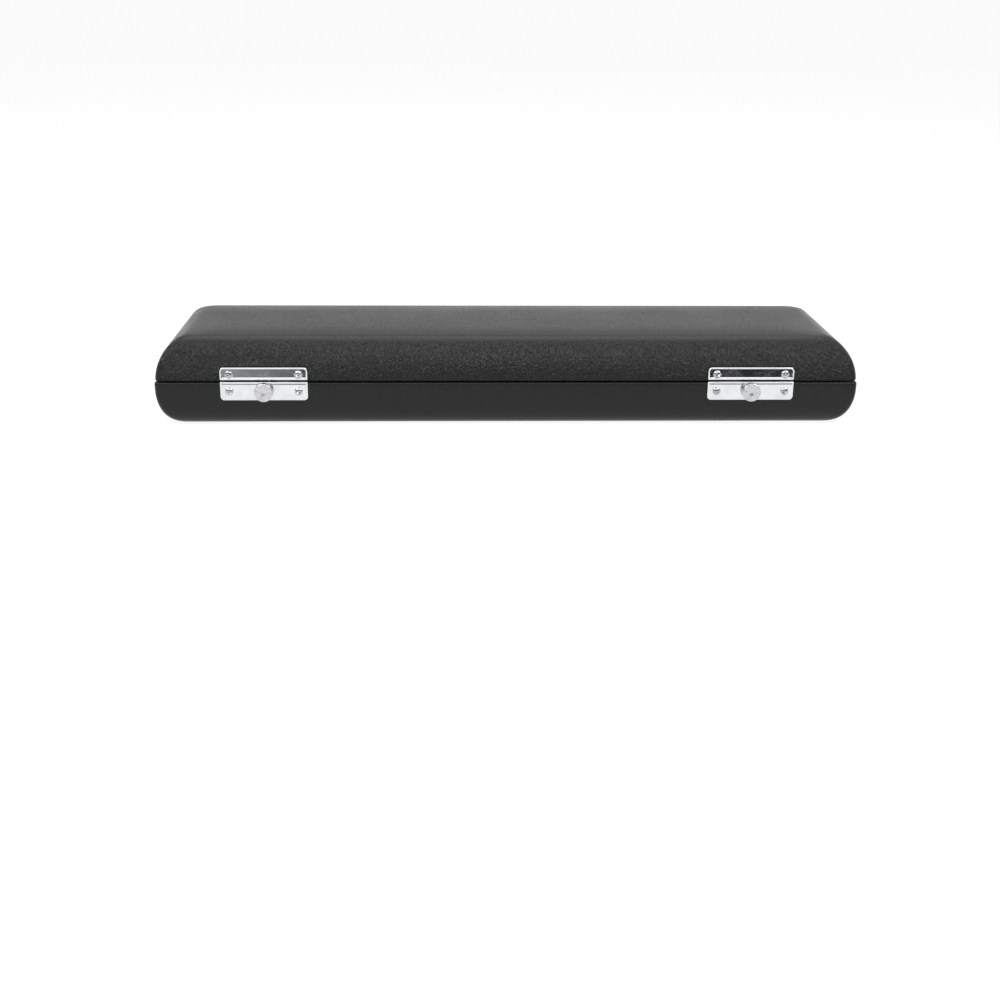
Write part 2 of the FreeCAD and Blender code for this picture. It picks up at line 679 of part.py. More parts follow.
def trough_profile(body, name, grow):
    """The cross section of a trough, grown on its sides, bottom and ends, and how long it runs."""
    across, start, length, width, depth, corner = troughs[name]
    top = "(plush_top + overrun)"
    bottom = f"(plush_top - {depth} - {grow})"
    profile = outline(body, f"{body.Name}_{name}_{len(body.Group)}", "YZ",
                      f"{width} + 2 * {grow}", f"{top} - {bottom}", x=across, y=f"({top} + {bottom}) / 2",
                      away=f"{start} - {grow}", corner=f"{corner} + {grow}", top_corner="mouth_corner")
    return profile, f"{length} + 2 * {grow}"


def make_cradle_block():
    body = new_body("cradle_block")
    half_form(body, "cradle_form", base_half, "(base_cavity + glue_gap)",
              "(skin + base_floor + glue_gap)",
              "(cavity_corner - glue_gap)", "(cavity_floor_corner - glue_gap)")
    trim_rim(body, base_half, "skin")
    side = "(lip_half_gap + plush_thickness + glue_gap)"
    lip = outline(body, "cradle_lip", "XY", f"case_length - 2 * {side}", f"case_width - 2 * {side}",
                  away="base_height - skin - overrun", corner="lip_corner")
    pad(body, lip, "skin + overrun + lip_height")
    for name in troughs:
        profile, length = trough_profile(body, name, "(plush_thickness + glue_gap)")
        pocket(body, profile, length, forwards=True)
    return body


def make_cradle_plush():
    body = new_body("cradle_plush")
    foot = "(base_height - skin + glue_gap)"
    cover = outline(body, "plush_cover", "XY", "case_length - 2 * lip_half_gap",
                    "case_width - 2 * lip_half_gap", away=foot,
                    corner="lip_corner + plush_thickness + glue_gap")
    pad(body, cover, f"plush_top - {foot}")
    side = "(lip_half_gap + plush_thickness)"
    hollow = outline(body, "plush_hollow", "XY", f"case_length - 2 * {side}", f"case_width - 2 * {side}",
                     away="plush_top - plush_thickness", corner="lip_corner + glue_gap")
    pocket(body, hollow, f"plush_top - plush_thickness - {foot}")
    for name in troughs:
        profile, length = trough_profile(body, name, "plush_thickness")
        pad(body, profile, length)
    flat = outline(body, "plush_level", "XY", "case_length", "case_width", away="plush_top")
    pocket(body, flat, "2 * overrun", forwards=True)
    for name in troughs:
        profile, length = trough_profile(body, name, "0")
        pocket(body, profile, length, forwards=True)
    return body


# Latch pieces stand at the right latch, with their own zero at the plate's middle and the seam's middle.
def latch_body(name):
    return new_body("right_" + name, x="latch_place", z="seam")


def front_slab(body, name, width, low, high, face, thickness, x="0", corner=None, top_corner=None):
    """A flat piece seen from the front, from its face backwards."""
    sketch = outline(body, name, "XZ", width, f"({high}) - ({low})", x=x, y=f"(({high}) + ({low})) / 2",
                     away=face, corner=corner, top_corner=top_corner)
    return pad(body, sketch, thickness, backwards=True)


def front_cut(body, name, width, low, high, face, depth, x="0", corner=None, top_corner=None):
    sketch = outline(body, name, "XZ", width, f"({high}) - ({low})", x=x, y=f"(({high}) + ({low})) / 2",
                     away=face, corner=corner, top_corner=top_corner)
    return pocket(body, sketch, depth)


def make_latch_plate():
    body = latch_body("latch_plate")
    foot = "-(latch_plate_height - latch_plate_rise)"
    base_rim = "(-seam_gap / 2)"
    slab = front_slab(body, "latch_pan", "plate_width", foot, "latch_plate_rise", "latch_face",
                      "latch_face - latch_seat_face",
                      corner="plate_corner", top_corner="plate_seam_corner")
    round_edges(body, slab, first_edges(body, slab, "y"), "plate_edge_round")
    front_cut(body, "latch_pan_inside", "plate_width - 2 * plate_sheet", f"{foot} + plate_sheet",
              f"{base_rim} - working_gap - plate_sheet", "latch_face - plate_sheet",
              "latch_face - latch_seat_face",
              corner="plate_corner - plate_sheet", top_corner="plate_seam_corner")
    front_cut(body, "latch_pan_top", "plate_width + overrun", f"{base_rim} - working_gap", "overrun",
              "latch_face - plate_sheet", "latch_face - latch_seat_face")
    front_cut(body, "latch_tongue_way", "tongue_width + 2 * tongue_side_gap",
              f"{base_rim} - working_gap - 2 * plate_sheet", "overrun", "latch_face - plate_sheet",
              "latch_face - latch_seat_face", x="-tongue_offset")
    front_cut(body, "shank_slot", "slide_travel + 2 * (shank_radius + shank_gap)",
              "-latch_middle - shank_radius - shank_gap", "-latch_middle + shank_radius + shank_gap",
              "latch_face", "plate_sheet", x="slide_travel / 2",
              corner="shank_radius + shank_gap - slot_flat / 2")
    hole_pair(body, "screw_hole", "screw_spacing", "0", "-latch_middle", "screw_hole",
              "latch_face", "plate_sheet")
    return body


def make_back_plate():
    body = latch_body("latch_back_plate")
    front_slab(body, "back_strip", "channel_inner + channel_outer - 2 * back_plate_gap",
               "-latch_middle - slide_height / 2 - working_gap + back_plate_gap",
               "-latch_middle + slide_height / 2 + working_gap - back_plate_gap",
               "back_plate_face", "back_plate_thickness", x="(channel_outer - channel_inner) / 2")
    return body


def make_latch_slide():
    body = latch_body("latch_slide")
    front_slab(body, "slide_block", "slide_length", "-latch_middle - slide_height / 2",
               "-latch_middle + slide_height / 2", "slide_face", "slide_thickness",
               x="(slide_outer - slide_inner) / 2", corner="edge_break")
    nose_tip = "(tongue_outer + nose_reach)"
    nose_root = "(slide_inner - slide_side_gap)"
    front_slab(body, "slide_nose", f"{nose_tip} - {nose_root}", "-latch_middle - nose_height / 2",
               "-latch_middle + nose_height / 2", "slide_face", "slide_thickness",
               x=f"-({nose_tip} + {nose_root}) / 2", corner="edge_break")
    bore = disc(body, "slide_bore", "XZ", "shank_radius + shank_fit", y="-latch_middle", away="slide_face")
    pocket(body, bore, "bore_depth")
    return body


def make_latch_knob():
    body = latch_body("latch_knob")
    back = "(latch_face + knob_gap)"
    button = disc(body, "knob_button", "XZ", "knob_radius", y="-latch_middle",
                  away=f"{back} + knob_thickness")
    head = pad(body, button, "knob_thickness", backwards=True)
    round_edges(body, head, first_edges(body, head, "y"), "knob_chamfer", kind="Chamfer")
    shank = disc(body, "knob_shank", "XZ", "shank_radius", y="-latch_middle", away=back)
    pad(body, shank, f"{back} - slide_face + bore_depth - shank_fit", backwards=True)
    return body


def make_latch_spring():
    body = latch_body("latch_spring")
    length = "(spring_room - 2 * spring_end_gap - 2 * spring_wire)"
    wire = new_sketch(body, "spring_section", "XY", "slide_outer + spring_end_gap + spring_wire",
                      "-(slide_face - slide_thickness / 2)", "-latch_middle")
    first_rise = 2.0
    first_radius = 1.0
    middle = FreeCAD.Vector(0, first_rise)
    wire.addGeometry(Part.Circle(middle, FreeCAD.Vector(0, 0, 1), first_radius), False)
    wire.addConstraint(Sketcher.Constraint("PointOnObject", 0, 3, -2))
    name_constraint(wire, "coil", Sketcher.Constraint("DistanceY", -1, 1, 0, 3, first_rise), "spring_radius")
    name_constraint(wire, "wire", Sketcher.Constraint("Radius", 0, first_radius), "spring_wire")
    coil = body.newObject("PartDesign::AdditiveHelix", "spring_coil")
    coil.Profile = (wire, [""])
    coil.ReferenceAxis = (wire, ["H_Axis"])
    coil.Mode = "height-turns-angle"
    bind(coil, Height=length)
    coil.Turns = spring_turns
    return body


def make_strike_plate():
    body = latch_body("strike_plate")
    top = "(strike_plate_rise + strike_plate_height)"
    slab = front_slab(body, "strike_pan", "plate_width", "strike_plate_rise", top, "strike_face",
                      "strike_face - strike_seat_face",
                      corner="plate_seam_corner", top_corner="plate_corner")
    round_edges(body, slab, first_edges(body, slab, "y"), "plate_edge_round")
    front_cut(body, "strike_pan_inside", "plate_width - 2 * plate_sheet", "strike_plate_rise + plate_sheet",
              f"{top} - plate_sheet", "strike_face - panel_depth - plate_sheet",
              "strike_face - strike_seat_face", corner="plate_seam_corner",
              top_corner="plate_corner - plate_sheet")
    front_cut(body, "sunk_panel", "plate_width - 2 * panel_border", "strike_plate_rise + panel_lip",
              f"{top} - panel_border", "strike_face", "panel_depth", corner="plate_seam_corner",
              top_corner="panel_corner")
    front_cut(body, "strike_tongue_way", "tongue_width + 2 * tongue_side_gap", "strike_plate_rise - overrun",
              "strike_plate_rise + 2 * plate_sheet", "catch_face + working_gap",
              "catch_face + working_gap - strike_seat_face", x="-tongue_offset")
    hole_pair(body, "screw_seat", "screw_spacing", "0", "strike_screw_rise",
              "screw_head_radius + screw_hole_gap", "strike_face", "panel_depth")
    hole_pair(body, "screw_hole", "screw_spacing", "0", "strike_screw_rise", "screw_hole",
              "strike_face", "panel_depth + plate_sheet")
    return body


def make_catch_plate():
    body = latch_body("catch_plate")
    strip_foot = "(strike_plate_rise + plate_sheet + screw_hole_gap)"
    front_slab(body, "catch_strip", "plate_width - 2 * plate_sheet - 2 * plate_fit", strip_foot,
               "strike_plate_rise + strike_plate_height - plate_sheet - plate_fit",
               "catch_face", "catch_thickness",
               corner="plate_seam_corner", top_corner="plate_corner - plate_sheet")
    tongue = front_slab(body, "catch_tongue", "tongue_width", "-tongue_drop", f"{strip_foot} + plate_sheet",
                        "catch_face", "catch_thickness", x="-tongue_offset")
    round_edges(body, tongue, end_edges(tongue), "tongue_bevel", kind="Chamfer")
    front_cut(body, "catch_notch", "2 * (nose_reach + working_gap)",
              "-latch_middle - nose_height / 2 - working_gap",
              "-latch_middle + nose_height / 2 + working_gap",
              "catch_face", "catch_thickness", x="-tongue_outer")
    hole_pair(body, "screw_hole", "screw_spacing", "0", "strike_screw_rise", "screw_hole",
              "catch_face", "catch_thickness")
    return body


def end_edges(feature):
    """The short upright corner edges at a tongue's end, which run front to back."""
    doc.recompute()
    names = []
    low = feature.Shape.BoundBox.ZMin
    for number, edge in enumerate(feature.Shape.Edges, 1):
        box = edge.BoundBox
        if box.XLength < near and box.ZLength < near and abs(box.ZMin - low) < near:
            names.append(f"Edge{number}")
    return names


def screw(body, name, x, level, face, head_radius, head_height, length, recess, back=False):
    """One round-head screw with a cross recess, its head on face. Back screws point forwards."""
    where = f"-{face}" if back else face
    head_ring = disc(body, name + "_head", "XZ", head_radius, x=x, y=level, away=where)
    head = pad(body, head_ring, head_height, backwards=back)
    shank_ring = disc(body, name + "_shank", "XZ", "screw_shank_radius", x=x, y=level, away=where)
    shank = pad(body, shank_ring, length, backwards=not back)
    outside = f"-({face} + {head_height})" if back else f"({face} + {head_height})"
    bars = []
    for bar, width, height in (("across", "recess_length", "recess_width"),
                               ("down", "recess_width", "recess_length")):
        mark = outline(body, f"{name}_{bar}", "XZ", width, height, x=x, y=level, away=outside)
        bars.append(pocket(body, mark, recess, forwards=back))
    return [head, shank] + bars


def make_screws(name, place, spacing, level, face, head_radius, head_height, length, recess, back=False):
    body = new_body("right_" + name, x=place, z="seam")
    parts = screw(body, name, f"{spacing} / 2", level, face, head_radius, head_height, length, recess, back)
    mirror_features(body, parts)
    return body


# Hinge pieces stand at the right hinge, with their own zero at the hinge's middle and the seam's middle.
def hinge_body(name):
    return new_body("right_" + name, x="hinge_place", z="seam")


def barrel(body, name, radius, start, length, cut=False):
    ring = disc(body, name, "YZ", radius, x="hinge_axis", y="0", away=start)
    return pocket(body, ring, length, forwards=True) if cut else pad(body, ring, length)


def make_hinge_base_leaf():
    body = hinge_body("hinge_base_leaf")
    front_slab(body, "base_leaf", "hinge_width", "-base_leaf_drop", "0", "-base_leaf_seat",
               "leaf_thickness", corner="leaf_corner", top_corner="stop_corner")
    barrel(body, "base_knuckles", "barrel_radius", "-hinge_width / 2", "hinge_width")
    leaf_offset = "(hinge_axis - lid_leaf_seat - leaf_thickness)"
    turned = f"cos({180 - lid_open_angle} deg)"
    stop_top = f"(({leaf_offset} - stop_reach * {turned}) / sin({lid_open_angle} deg) - working_gap)"
    lug = outline(body, "stop_lug", "YZ", "stop_reach", f"{stop_top} + stop_drop",
                  x="hinge_axis + stop_reach / 2", y=f"({stop_top} - stop_drop) / 2",
                  away="-hinge_width / 2", corner="stop_corner")
    pad(body, lug, "hinge_width")
    middle = outline(body, "knuckle_gap_cut", "XZ", "middle_knuckle + 2 * knuckle_gap",
                     "2 * (barrel_radius + working_gap)", away="-(base_leaf_seat - overrun)")
    pocket(body, middle, "hinge_axis + stop_reach - base_leaf_seat + 2 * overrun")
    barrel(body, "base_bore", "pin_radius + pin_clearance", "-hinge_width / 2", "hinge_width", cut=True)
    hole_pair(body, "screw_hole", "hinge_screw_spacing", "0", "-hinge_screw_offset", "screw_hole",
              "(base_leaf_seat + leaf_thickness)", "leaf_thickness", back=True)
    return body


def make_hinge_lid_leaf():
    body = hinge_body("hinge_lid_leaf")
    foot = "(barrel_radius + working_gap)"
    front_slab(body, "lid_leaf", "hinge_width", foot, "lid_leaf_rise", "-lid_leaf_seat", "leaf_thickness",
               corner="stop_corner", top_corner="leaf_corner")
    barrel(body, "lid_knuckle", "barrel_radius", "-middle_knuckle / 2", "middle_knuckle")
    neck_out = "(hinge_axis - pin_radius - pin_clearance - edge_break)"
    neck = outline(body, "lid_neck", "YZ", f"{neck_out} - lid_leaf_seat",
                   f"{foot} + neck_overlap - neck_rise", x=f"({neck_out} + lid_leaf_seat) / 2",
                   y=f"({foot} + neck_overlap + neck_rise) / 2", away="-middle_knuckle / 2")
    pad(body, neck, "middle_knuckle")
    barrel(body, "lid_bore", "pin_radius + pin_clearance", "-middle_knuckle / 2", "middle_knuckle",
           cut=True)
    hole_pair(body, "screw_hole", "hinge_screw_spacing", "0", "hinge_screw_offset", "screw_hole",
              "(lid_leaf_seat + leaf_thickness)", "leaf_thickness", back=True)
    return body


def make_hinge_pin():
    body = hinge_body("hinge_pin")
    rod = barrel(body, "pin_rod", "pin_radius", "-hinge_width / 2", "hinge_width")
    doc.recompute()
    ends = [f"Edge{number}" for number, edge in enumerate(rod.Shape.Edges, 1)
            if edge.BoundBox.XLength < near]
    round_edges(body, rod, ends, "pin_chamfer", kind="Chamfer")
    return body


def mirrored_left(right):
    left = doc.addObject("Part::Mirroring", right.Name.replace("right_", "left_"))
    left.Label = left.Name
    left.Source = right
    left.Base = FreeCAD.Vector(0, 0, 0)
    left.Normal = FreeCAD.Vector(1, 0, 0)
    return left


single_pieces = [
    make_base_shell(),
    make_base_wrap(),
    make_cradle_block(),
    make_cradle_plush(),
    make_lid_shell(),
    make_lid_padding(),
    make_lid_wrap(),
    make_lid_lining(),
    make_lid_cushion(),
]
right_pieces = [
    make_latch_plate(),
    make_back_plate(),
    make_latch_slide(),
    make_latch_knob(),
    make_latch_spring(),
    make_strike_plate(),
    make_catch_plate(),
    make_screws("latch_screws", "latch_place", "screw_spacing", "-latch_middle", "latch_face",
                "screw_head_radius", "screw_head_height", "screw_length", "recess_depth"),
    make_screws("strike_screws", "latch_place", "screw_spacing", "strike_screw_rise",
                "(strike_face - panel_depth)",
                "screw_head_radius", "screw_head_height", "screw_length", "recess_depth"),
    make_hinge_base_leaf(),
    make_hinge_lid_leaf(),
    make_hinge_pin(),
    make_screws("hinge_base_screws", "hinge_place", "hinge_screw_spacing", "-hinge_screw_offset",
                "(base_leaf_seat + leaf_thickness)", "hinge_head_radius", "hinge_head_height",
                "hinge_screw_length", "hinge_recess_depth", back=True),
    make_screws("hinge_lid_screws", "hinge_place", "hinge_screw_spacing", "hinge_screw_offset",
                "(lid_leaf_seat + leaf_thickness)", "hinge_head_radius", "hinge_head_height",
                "hinge_screw_length", "hinge_recess_depth", back=True),
]
doc.recompute()
left_pieces = [mirrored_left(piece) for piece in right_pieces]
doc.recompute()

pieces = single_pieces + right_pieces + left_pieces
failed = [thing.Label for thing in doc.Objects if {"Invalid", "Error"} & set(thing.State)]
failed += [piece.Label for piece in pieces if piece.Shape.isNull() or not piece.Shape.isValid()]
if failed:
    raise RuntimeError("These didn't build: " + ", ".join(failed))
os.makedirs("parts", exist_ok=True)
for piece in pieces:
    piece.Shape.exportStep(f"parts/{piece.Label}.step")
    print(piece.Label, len(piece.Shape.Solids), round(piece.Shape.Volume, 1))
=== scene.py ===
import json
import math

import bmesh
import bpy
from mathutils import Matrix, Vector

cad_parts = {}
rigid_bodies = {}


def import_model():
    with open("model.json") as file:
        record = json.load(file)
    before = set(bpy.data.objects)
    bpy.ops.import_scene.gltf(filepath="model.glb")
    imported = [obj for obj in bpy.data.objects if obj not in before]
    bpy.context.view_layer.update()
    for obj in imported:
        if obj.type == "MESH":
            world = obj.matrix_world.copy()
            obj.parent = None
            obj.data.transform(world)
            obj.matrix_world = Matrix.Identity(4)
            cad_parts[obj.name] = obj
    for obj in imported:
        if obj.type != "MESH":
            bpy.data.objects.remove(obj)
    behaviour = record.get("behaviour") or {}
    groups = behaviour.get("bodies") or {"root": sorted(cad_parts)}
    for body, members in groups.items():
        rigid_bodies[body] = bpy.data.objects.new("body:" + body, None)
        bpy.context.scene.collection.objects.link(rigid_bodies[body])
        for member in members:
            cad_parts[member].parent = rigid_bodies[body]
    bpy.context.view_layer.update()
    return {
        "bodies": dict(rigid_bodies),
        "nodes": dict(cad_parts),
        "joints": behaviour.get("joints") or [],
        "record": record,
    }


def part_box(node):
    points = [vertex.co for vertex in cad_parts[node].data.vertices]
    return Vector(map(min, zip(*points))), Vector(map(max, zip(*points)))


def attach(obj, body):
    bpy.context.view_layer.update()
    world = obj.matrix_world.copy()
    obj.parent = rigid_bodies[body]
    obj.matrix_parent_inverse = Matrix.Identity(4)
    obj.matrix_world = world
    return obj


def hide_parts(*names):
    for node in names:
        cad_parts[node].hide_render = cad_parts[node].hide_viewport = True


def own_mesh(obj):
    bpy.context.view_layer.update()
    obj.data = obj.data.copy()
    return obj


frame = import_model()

# Hard flute case. Lengths in the dictionaries are millimetres, only the lights have metres, as the scene does.
millimetre = 0.001
cadNodes = frame["nodes"]
sides = {"left": -1, "right": 1}  # each latch and hinge with the way that points outwards


# Node helpers for the materials

def addNode(tree, kind, **settings):
    node = tree.nodes.new(kind)
    for setting, value in settings.items():
        setattr(node, setting, value)
    return node


def feed(tree, target, source):
    if isinstance(source, bpy.types.NodeSocket):
        tree.links.new(source, target)
    else:
        target.default_value = (*source, 1.0) if target.type == "RGBA" else source


def feedAll(tree, node, values):
    for target, value in zip(node.inputs, values):
        feed(tree, target, value)
    return node.outputs[0]


def feedNamed(tree, node, **values):
    for label, value in values.items():
        feed(tree, node.inputs[label], value)
    return node.outputs


def calculate(tree, operation, *values):
    return feedAll(tree, addNode(tree, "ShaderNodeMath", operation=operation), values)


def weigh(tree, *pairs):
    # adds values up, each at its own weight
    total = None
    for value, weight in pairs:
        part = calculate(tree, "MULTIPLY", value, weight)
        total = part if total is None else calculate(tree, "ADD", total, part)
    return total


def calculateVector(tree, operation, *values):
    return feedAll(tree, addNode(tree, "ShaderNodeVectorMath", operation=operation), values)


def splitVector(tree, vector):
    return feedNamed(tree, addNode(tree, "ShaderNodeSeparateXYZ"), Vector=vector)


def joinVector(tree, *values):
    return feedAll(tree, addNode(tree, "ShaderNodeCombineXYZ"), values)


def remap(tree, value, fromLow, fromHigh, toLow=0.0, toHigh=1.0, smooth=False):
    node = addNode(tree, "ShaderNodeMapRange", interpolation_type="SMOOTHSTEP" if smooth else "LINEAR")
    return feedAll(tree, node, (value, fromLow, fromHigh, toLow, toHigh))


def blend(tree, share, first, second, kind="RGBA"):
    node = addNode(tree, "ShaderNodeMix", data_type=kind)
    sockets = [entry for entry in node.inputs if entry.enabled]
    for target, value in zip(sockets, (share, first, second)):
        feed(tree, target, value)
    return [entry for entry in node.outputs if entry.enabled][0]


def noiseAt(tree, position, scale, detail=3.0, roughness=0.5, output="Fac"):
    noise = addNode(tree, "ShaderNodeTexNoise")
    return feedNamed(tree, noise, Vector=position, Scale=scale, Detail=detail, Roughness=roughness)[output]


def cellsAt(tree, position, feature):
    cells = addNode(tree, "ShaderNodeTexVoronoi", feature=feature)
    return feedNamed(tree, cells, Vector=position, Scale=1.0)["Distance"]


def newGroup(name, inputs, outputs):
    group = bpy.data.node_groups.new(name, "ShaderNodeTree")
    for label, kind, value in inputs:
        socket = group.interface.new_socket(label, in_out="INPUT", socket_type="NodeSocket" + kind)
        if value is not None:
            socket.default_value = value
    for label, kind in outputs:
        group.interface.new_socket(label, in_out="OUTPUT", socket_type="NodeSocket" + kind)
    return group, group.nodes.new("NodeGroupInput").outputs, group.nodes.new("NodeGroupOutput")


def placeGroup(tree, group, **values):
    return feedNamed(tree, addNode(tree, "ShaderNodeGroup", node_tree=group), **values)


def newMaterial(name, **shaderValues):
    material = bpy.data.materials.new(name)
    material.use_nodes = True
    tree = material.node_tree
    shader = tree.nodes["Principled BSDF"]
    feedNamed(tree, shader, **shaderValues)
    return material, tree, shader.inputs, addNode(tree, "ShaderNodeTexCoord").outputs


def bumpInto(tree, shader, height, distance):
    bump = feedNamed(tree, addNode(tree, "ShaderNodeBump"), Strength=1.0, Distance=distance, Height=height)
    feed(tree, shader["Normal"], bump["Normal"])


# Effects that several materials share

def buildHideGrain():
    # pebbled cells, longer from front to back, with creases between them
    group, given, made = newGroup("hideGrain", [
        ("Position", "Vector", None), ("Facing", "Vector", None), ("CellWidth", "Float", 0.0011),
        ("Stretch", "Float", 3.0), ("Wander", "Float", 0.6), ("Lean", "Float", 0.0)],
        [("Height", "Float"), ("Creases", "Float")])
    across = calculate(group, "DIVIDE", 1.0, given["CellWidth"])
    along = calculate(group, "DIVIDE", across, given["Stretch"])
    x, y, z = splitVector(group, given["Position"])
    gather = calculate(group, "MULTIPLY_ADD", z, given["Lean"], 1.0)
    leaning = joinVector(group, calculate(group, "MULTIPLY", x, gather), y, z)  # towards the middle as it rises
    turned = joinVector(group, z, y, x)  # the sheet where it is folded down over the ends
    sideways = calculate(group, "ABSOLUTE", splitVector(group, given["Facing"])[0])
    place = blend(group, remap(group, sideways, 0.66, 0.76), leaning, turned, "VECTOR")
    scaled = calculateVector(group, "MULTIPLY", place, joinVector(group, across, along, along))
    drift = calculateVector(group, "SUBTRACT", noiseAt(group, scaled, 0.55, 2.0, 0.5, "Color"), (0.5, 0.5, 0.5))
    edge = cellsAt(group, calculateVector(group, "MULTIPLY_ADD", drift, given["Wander"], scaled), "DISTANCE_TO_EDGE")
    height = weigh(group, (remap(group, edge, 0.0, 0.4, smooth=True), 0.62),
                   (noiseAt(group, scaled, 2.2, 3.0, 0.6), 0.25), (noiseAt(group, scaled, 0.28, 2.0, 0.5), 0.25))
    feedNamed(group, made, Height=height, Creases=remap(group, edge, 0.11, 0.0, smooth=True))
    return group


def buildPile():
    # cut pile: fine upright fibres with soft brushed patches
    group, given, made = newGroup("pile", [
        ("Position", "Vector", None), ("FibreSize", "Float", 0.00035), ("PatchSize", "Float", 0.012)],
        [("Height", "Float"), ("Shade", "Float")])
    fibres = noiseAt(group, given["Position"], calculate(group, "DIVIDE", 1.0, given["FibreSize"]), 2.0, 0.7)
    tufts = noiseAt(group, given["Position"], calculate(group, "DIVIDE", 0.28, given["FibreSize"]), 2.0, 0.55)
    patches = noiseAt(group, given["Position"], calculate(group, "DIVIDE", 1.0, given["PatchSize"]), 3.0, 0.6)
    shade = weigh(group, (remap(group, patches, 0.35, 0.65), 0.5), (fibres, 0.5))
    feedNamed(group, made, Height=weigh(group, (fibres, 0.6), (tufts, 0.4)), Shade=shade)
    return group


def buildMetalMarks():
    # fine drawn lines, a few scratches and faint smudges on plated metal
    group, given, made = newGroup("metalMarks", [
        ("Position", "Vector", None), ("LineScale", "Vector", (200.0, 9000.0, 9000.0)),
        ("SmudgeSize", "Float", 0.006)], [("Lines", "Float"), ("Smudges", "Float"), ("Scratches", "Float")])
    lined = calculateVector(group, "MULTIPLY", given["Position"], given["LineScale"])
    smudges = noiseAt(group, given["Position"], calculate(group, "DIVIDE", 1.0, given["SmudgeSize"]), 4.0, 0.55)
    scratched = calculateVector(group, "MULTIPLY", given["Position"], (90.0, 500.0, 1700.0))
    feedNamed(group, made, Lines=noiseAt(group, lined, 1.0, 2.0, 0.5), Smudges=remap(group, smudges, 0.35, 0.7),
              Scratches=remap(group, noiseAt(group, scratched, 1.0, 2.0, 0.5), 0.66, 0.74))
    return group


def buildFibreSpeckle():
    # pressed fibres or open cells, as board and foam show where they are cut
    group, given, made = newGroup("fibreSpeckle", [
        ("Position", "Vector", None), ("SpeckleScale", "Vector", (900.0, 900.0, 900.0))],
        [("Height", "Float"), ("Flecks", "Float")])
    placed = calculateVector(group, "MULTIPLY", given["Position"], given["SpeckleScale"])
    mottled = noiseAt(group, placed, 0.5, 4.0, 0.6)
    feedNamed(group, made, Height=weigh(group, (cellsAt(group, placed, "F1"), 0.5), (mottled, 0.5)),
              Flecks=remap(group, mottled, 0.4, 0.62, smooth=True))
    return group


hideGrain = buildHideGrain()
pile = buildPile()
metalMarks = buildMetalMarks()
fibreSpeckle = buildFibreSpeckle()
print("shared effects are ready")


# Materials

leatheretteLook = {
    "colour": (0.005, 0.005, 0.0054),
    # painted shade: the creases between the grain's cells are coloured darker
    "paintedCreaseShade": (0.0015, 0.0015, 0.0016),
    "roughness": (0.21, 0.45),  # on the cells, in the creases
    "cellWidth": 1.0,
    "stretch": 2.3,
    "wander": 0.7,
    "lean": 6.0,
    "lidGrain": 0.42,  # depth where it lies over foam
    "baseGrain": 0.03,  # depth where it is drawn tight over board
    "index": 1.37,
    "topShare": 0.09,  # how much of the grain is left where the lid lies flat
}


def makeLeatherette(name, grainDepth):
    look = leatheretteLook
    material, tree, shader, place = newMaterial(name, IOR=look["index"])
    grain = placeGroup(tree, hideGrain, Position=place["Object"], Facing=place["Normal"],
                       CellWidth=look["cellWidth"] * millimetre, Stretch=look["stretch"], Wander=look["wander"],
                       Lean=look["lean"])
    worn = noiseAt(tree, place["Object"], 22.0, 3.0, 0.55)
    # painted shade: the colour darkens in the grain's creases
    feed(tree, shader["Base Color"], blend(tree, grain["Creases"], look["colour"], look["paintedCreaseShade"]))
    roughness = remap(tree, grain["Creases"], 0.0, 1.0, *look["roughness"])
    feed(tree, shader["Roughness"], calculate(tree, "ADD", roughness, remap(tree, worn, 0.3, 0.7, -0.03, 0.04)))
    share = remap(tree, splitVector(tree, place["Normal"])[2], 0.75, 0.98, 1.0, look["topShare"], smooth=True)
    bumpInto(tree, shader, calculate(tree, "MULTIPLY", grain["Height"], share), grainDepth * millimetre)
    return material


plushLook = {
    "cradle": {"colour": (0.006, 0.006, 0.011), "tipColour": (0.03, 0.03, 0.046), "fibre": 0.32, "patch": 14.0},
    "lid": {"colour": (0.005, 0.005, 0.01), "tipColour": (0.026, 0.026, 0.04), "fibre": 0.36, "patch": 20.0},
}


def makePlush(name, look):
    material, tree, shader, place = newMaterial(
        name, **{"Roughness": 0.95, "Sheen Weight": 0.75, "Sheen Roughness": 0.35,
                 "Sheen Tint": (0.34, 0.35, 0.45), "Specular IOR Level": 0.15})
    nap = placeGroup(tree, pile, Position=place["Object"], FibreSize=look["fibre"] * millimetre,
                     PatchSize=look["patch"] * millimetre)
    feed(tree, shader["Base Color"], blend(tree, nap["Shade"], look["colour"], look["tipColour"]))
    bumpInto(tree, shader, nap["Height"], 0.22 * millimetre)
    return material


boardLook = {"colour": (0.3, 0.19, 0.105), "fleckColour": (0.46, 0.32, 0.19), "speckles": (260.0, 900.0, 900.0)}
foamLook = {"colour": (0.36, 0.36, 0.35), "fleckColour": (0.5, 0.5, 0.48), "speckles": (1300.0, 1300.0, 1300.0)}


def makeSpeckled(name, look, roughness, depth):
    material, tree, shader, place = newMaterial(name)
    speckle = placeGroup(tree, fibreSpeckle, Position=place["Object"], SpeckleScale=look["speckles"])
    feed(tree, shader["Base Color"], blend(tree, speckle["Flecks"], look["colour"], look["fleckColour"]))
    feed(tree, shader["Roughness"], remap(tree, speckle["Flecks"], 0.0, 1.0, roughness - 0.1, roughness))
    bumpInto(tree, shader, speckle["Height"], depth * millimetre)
    return material


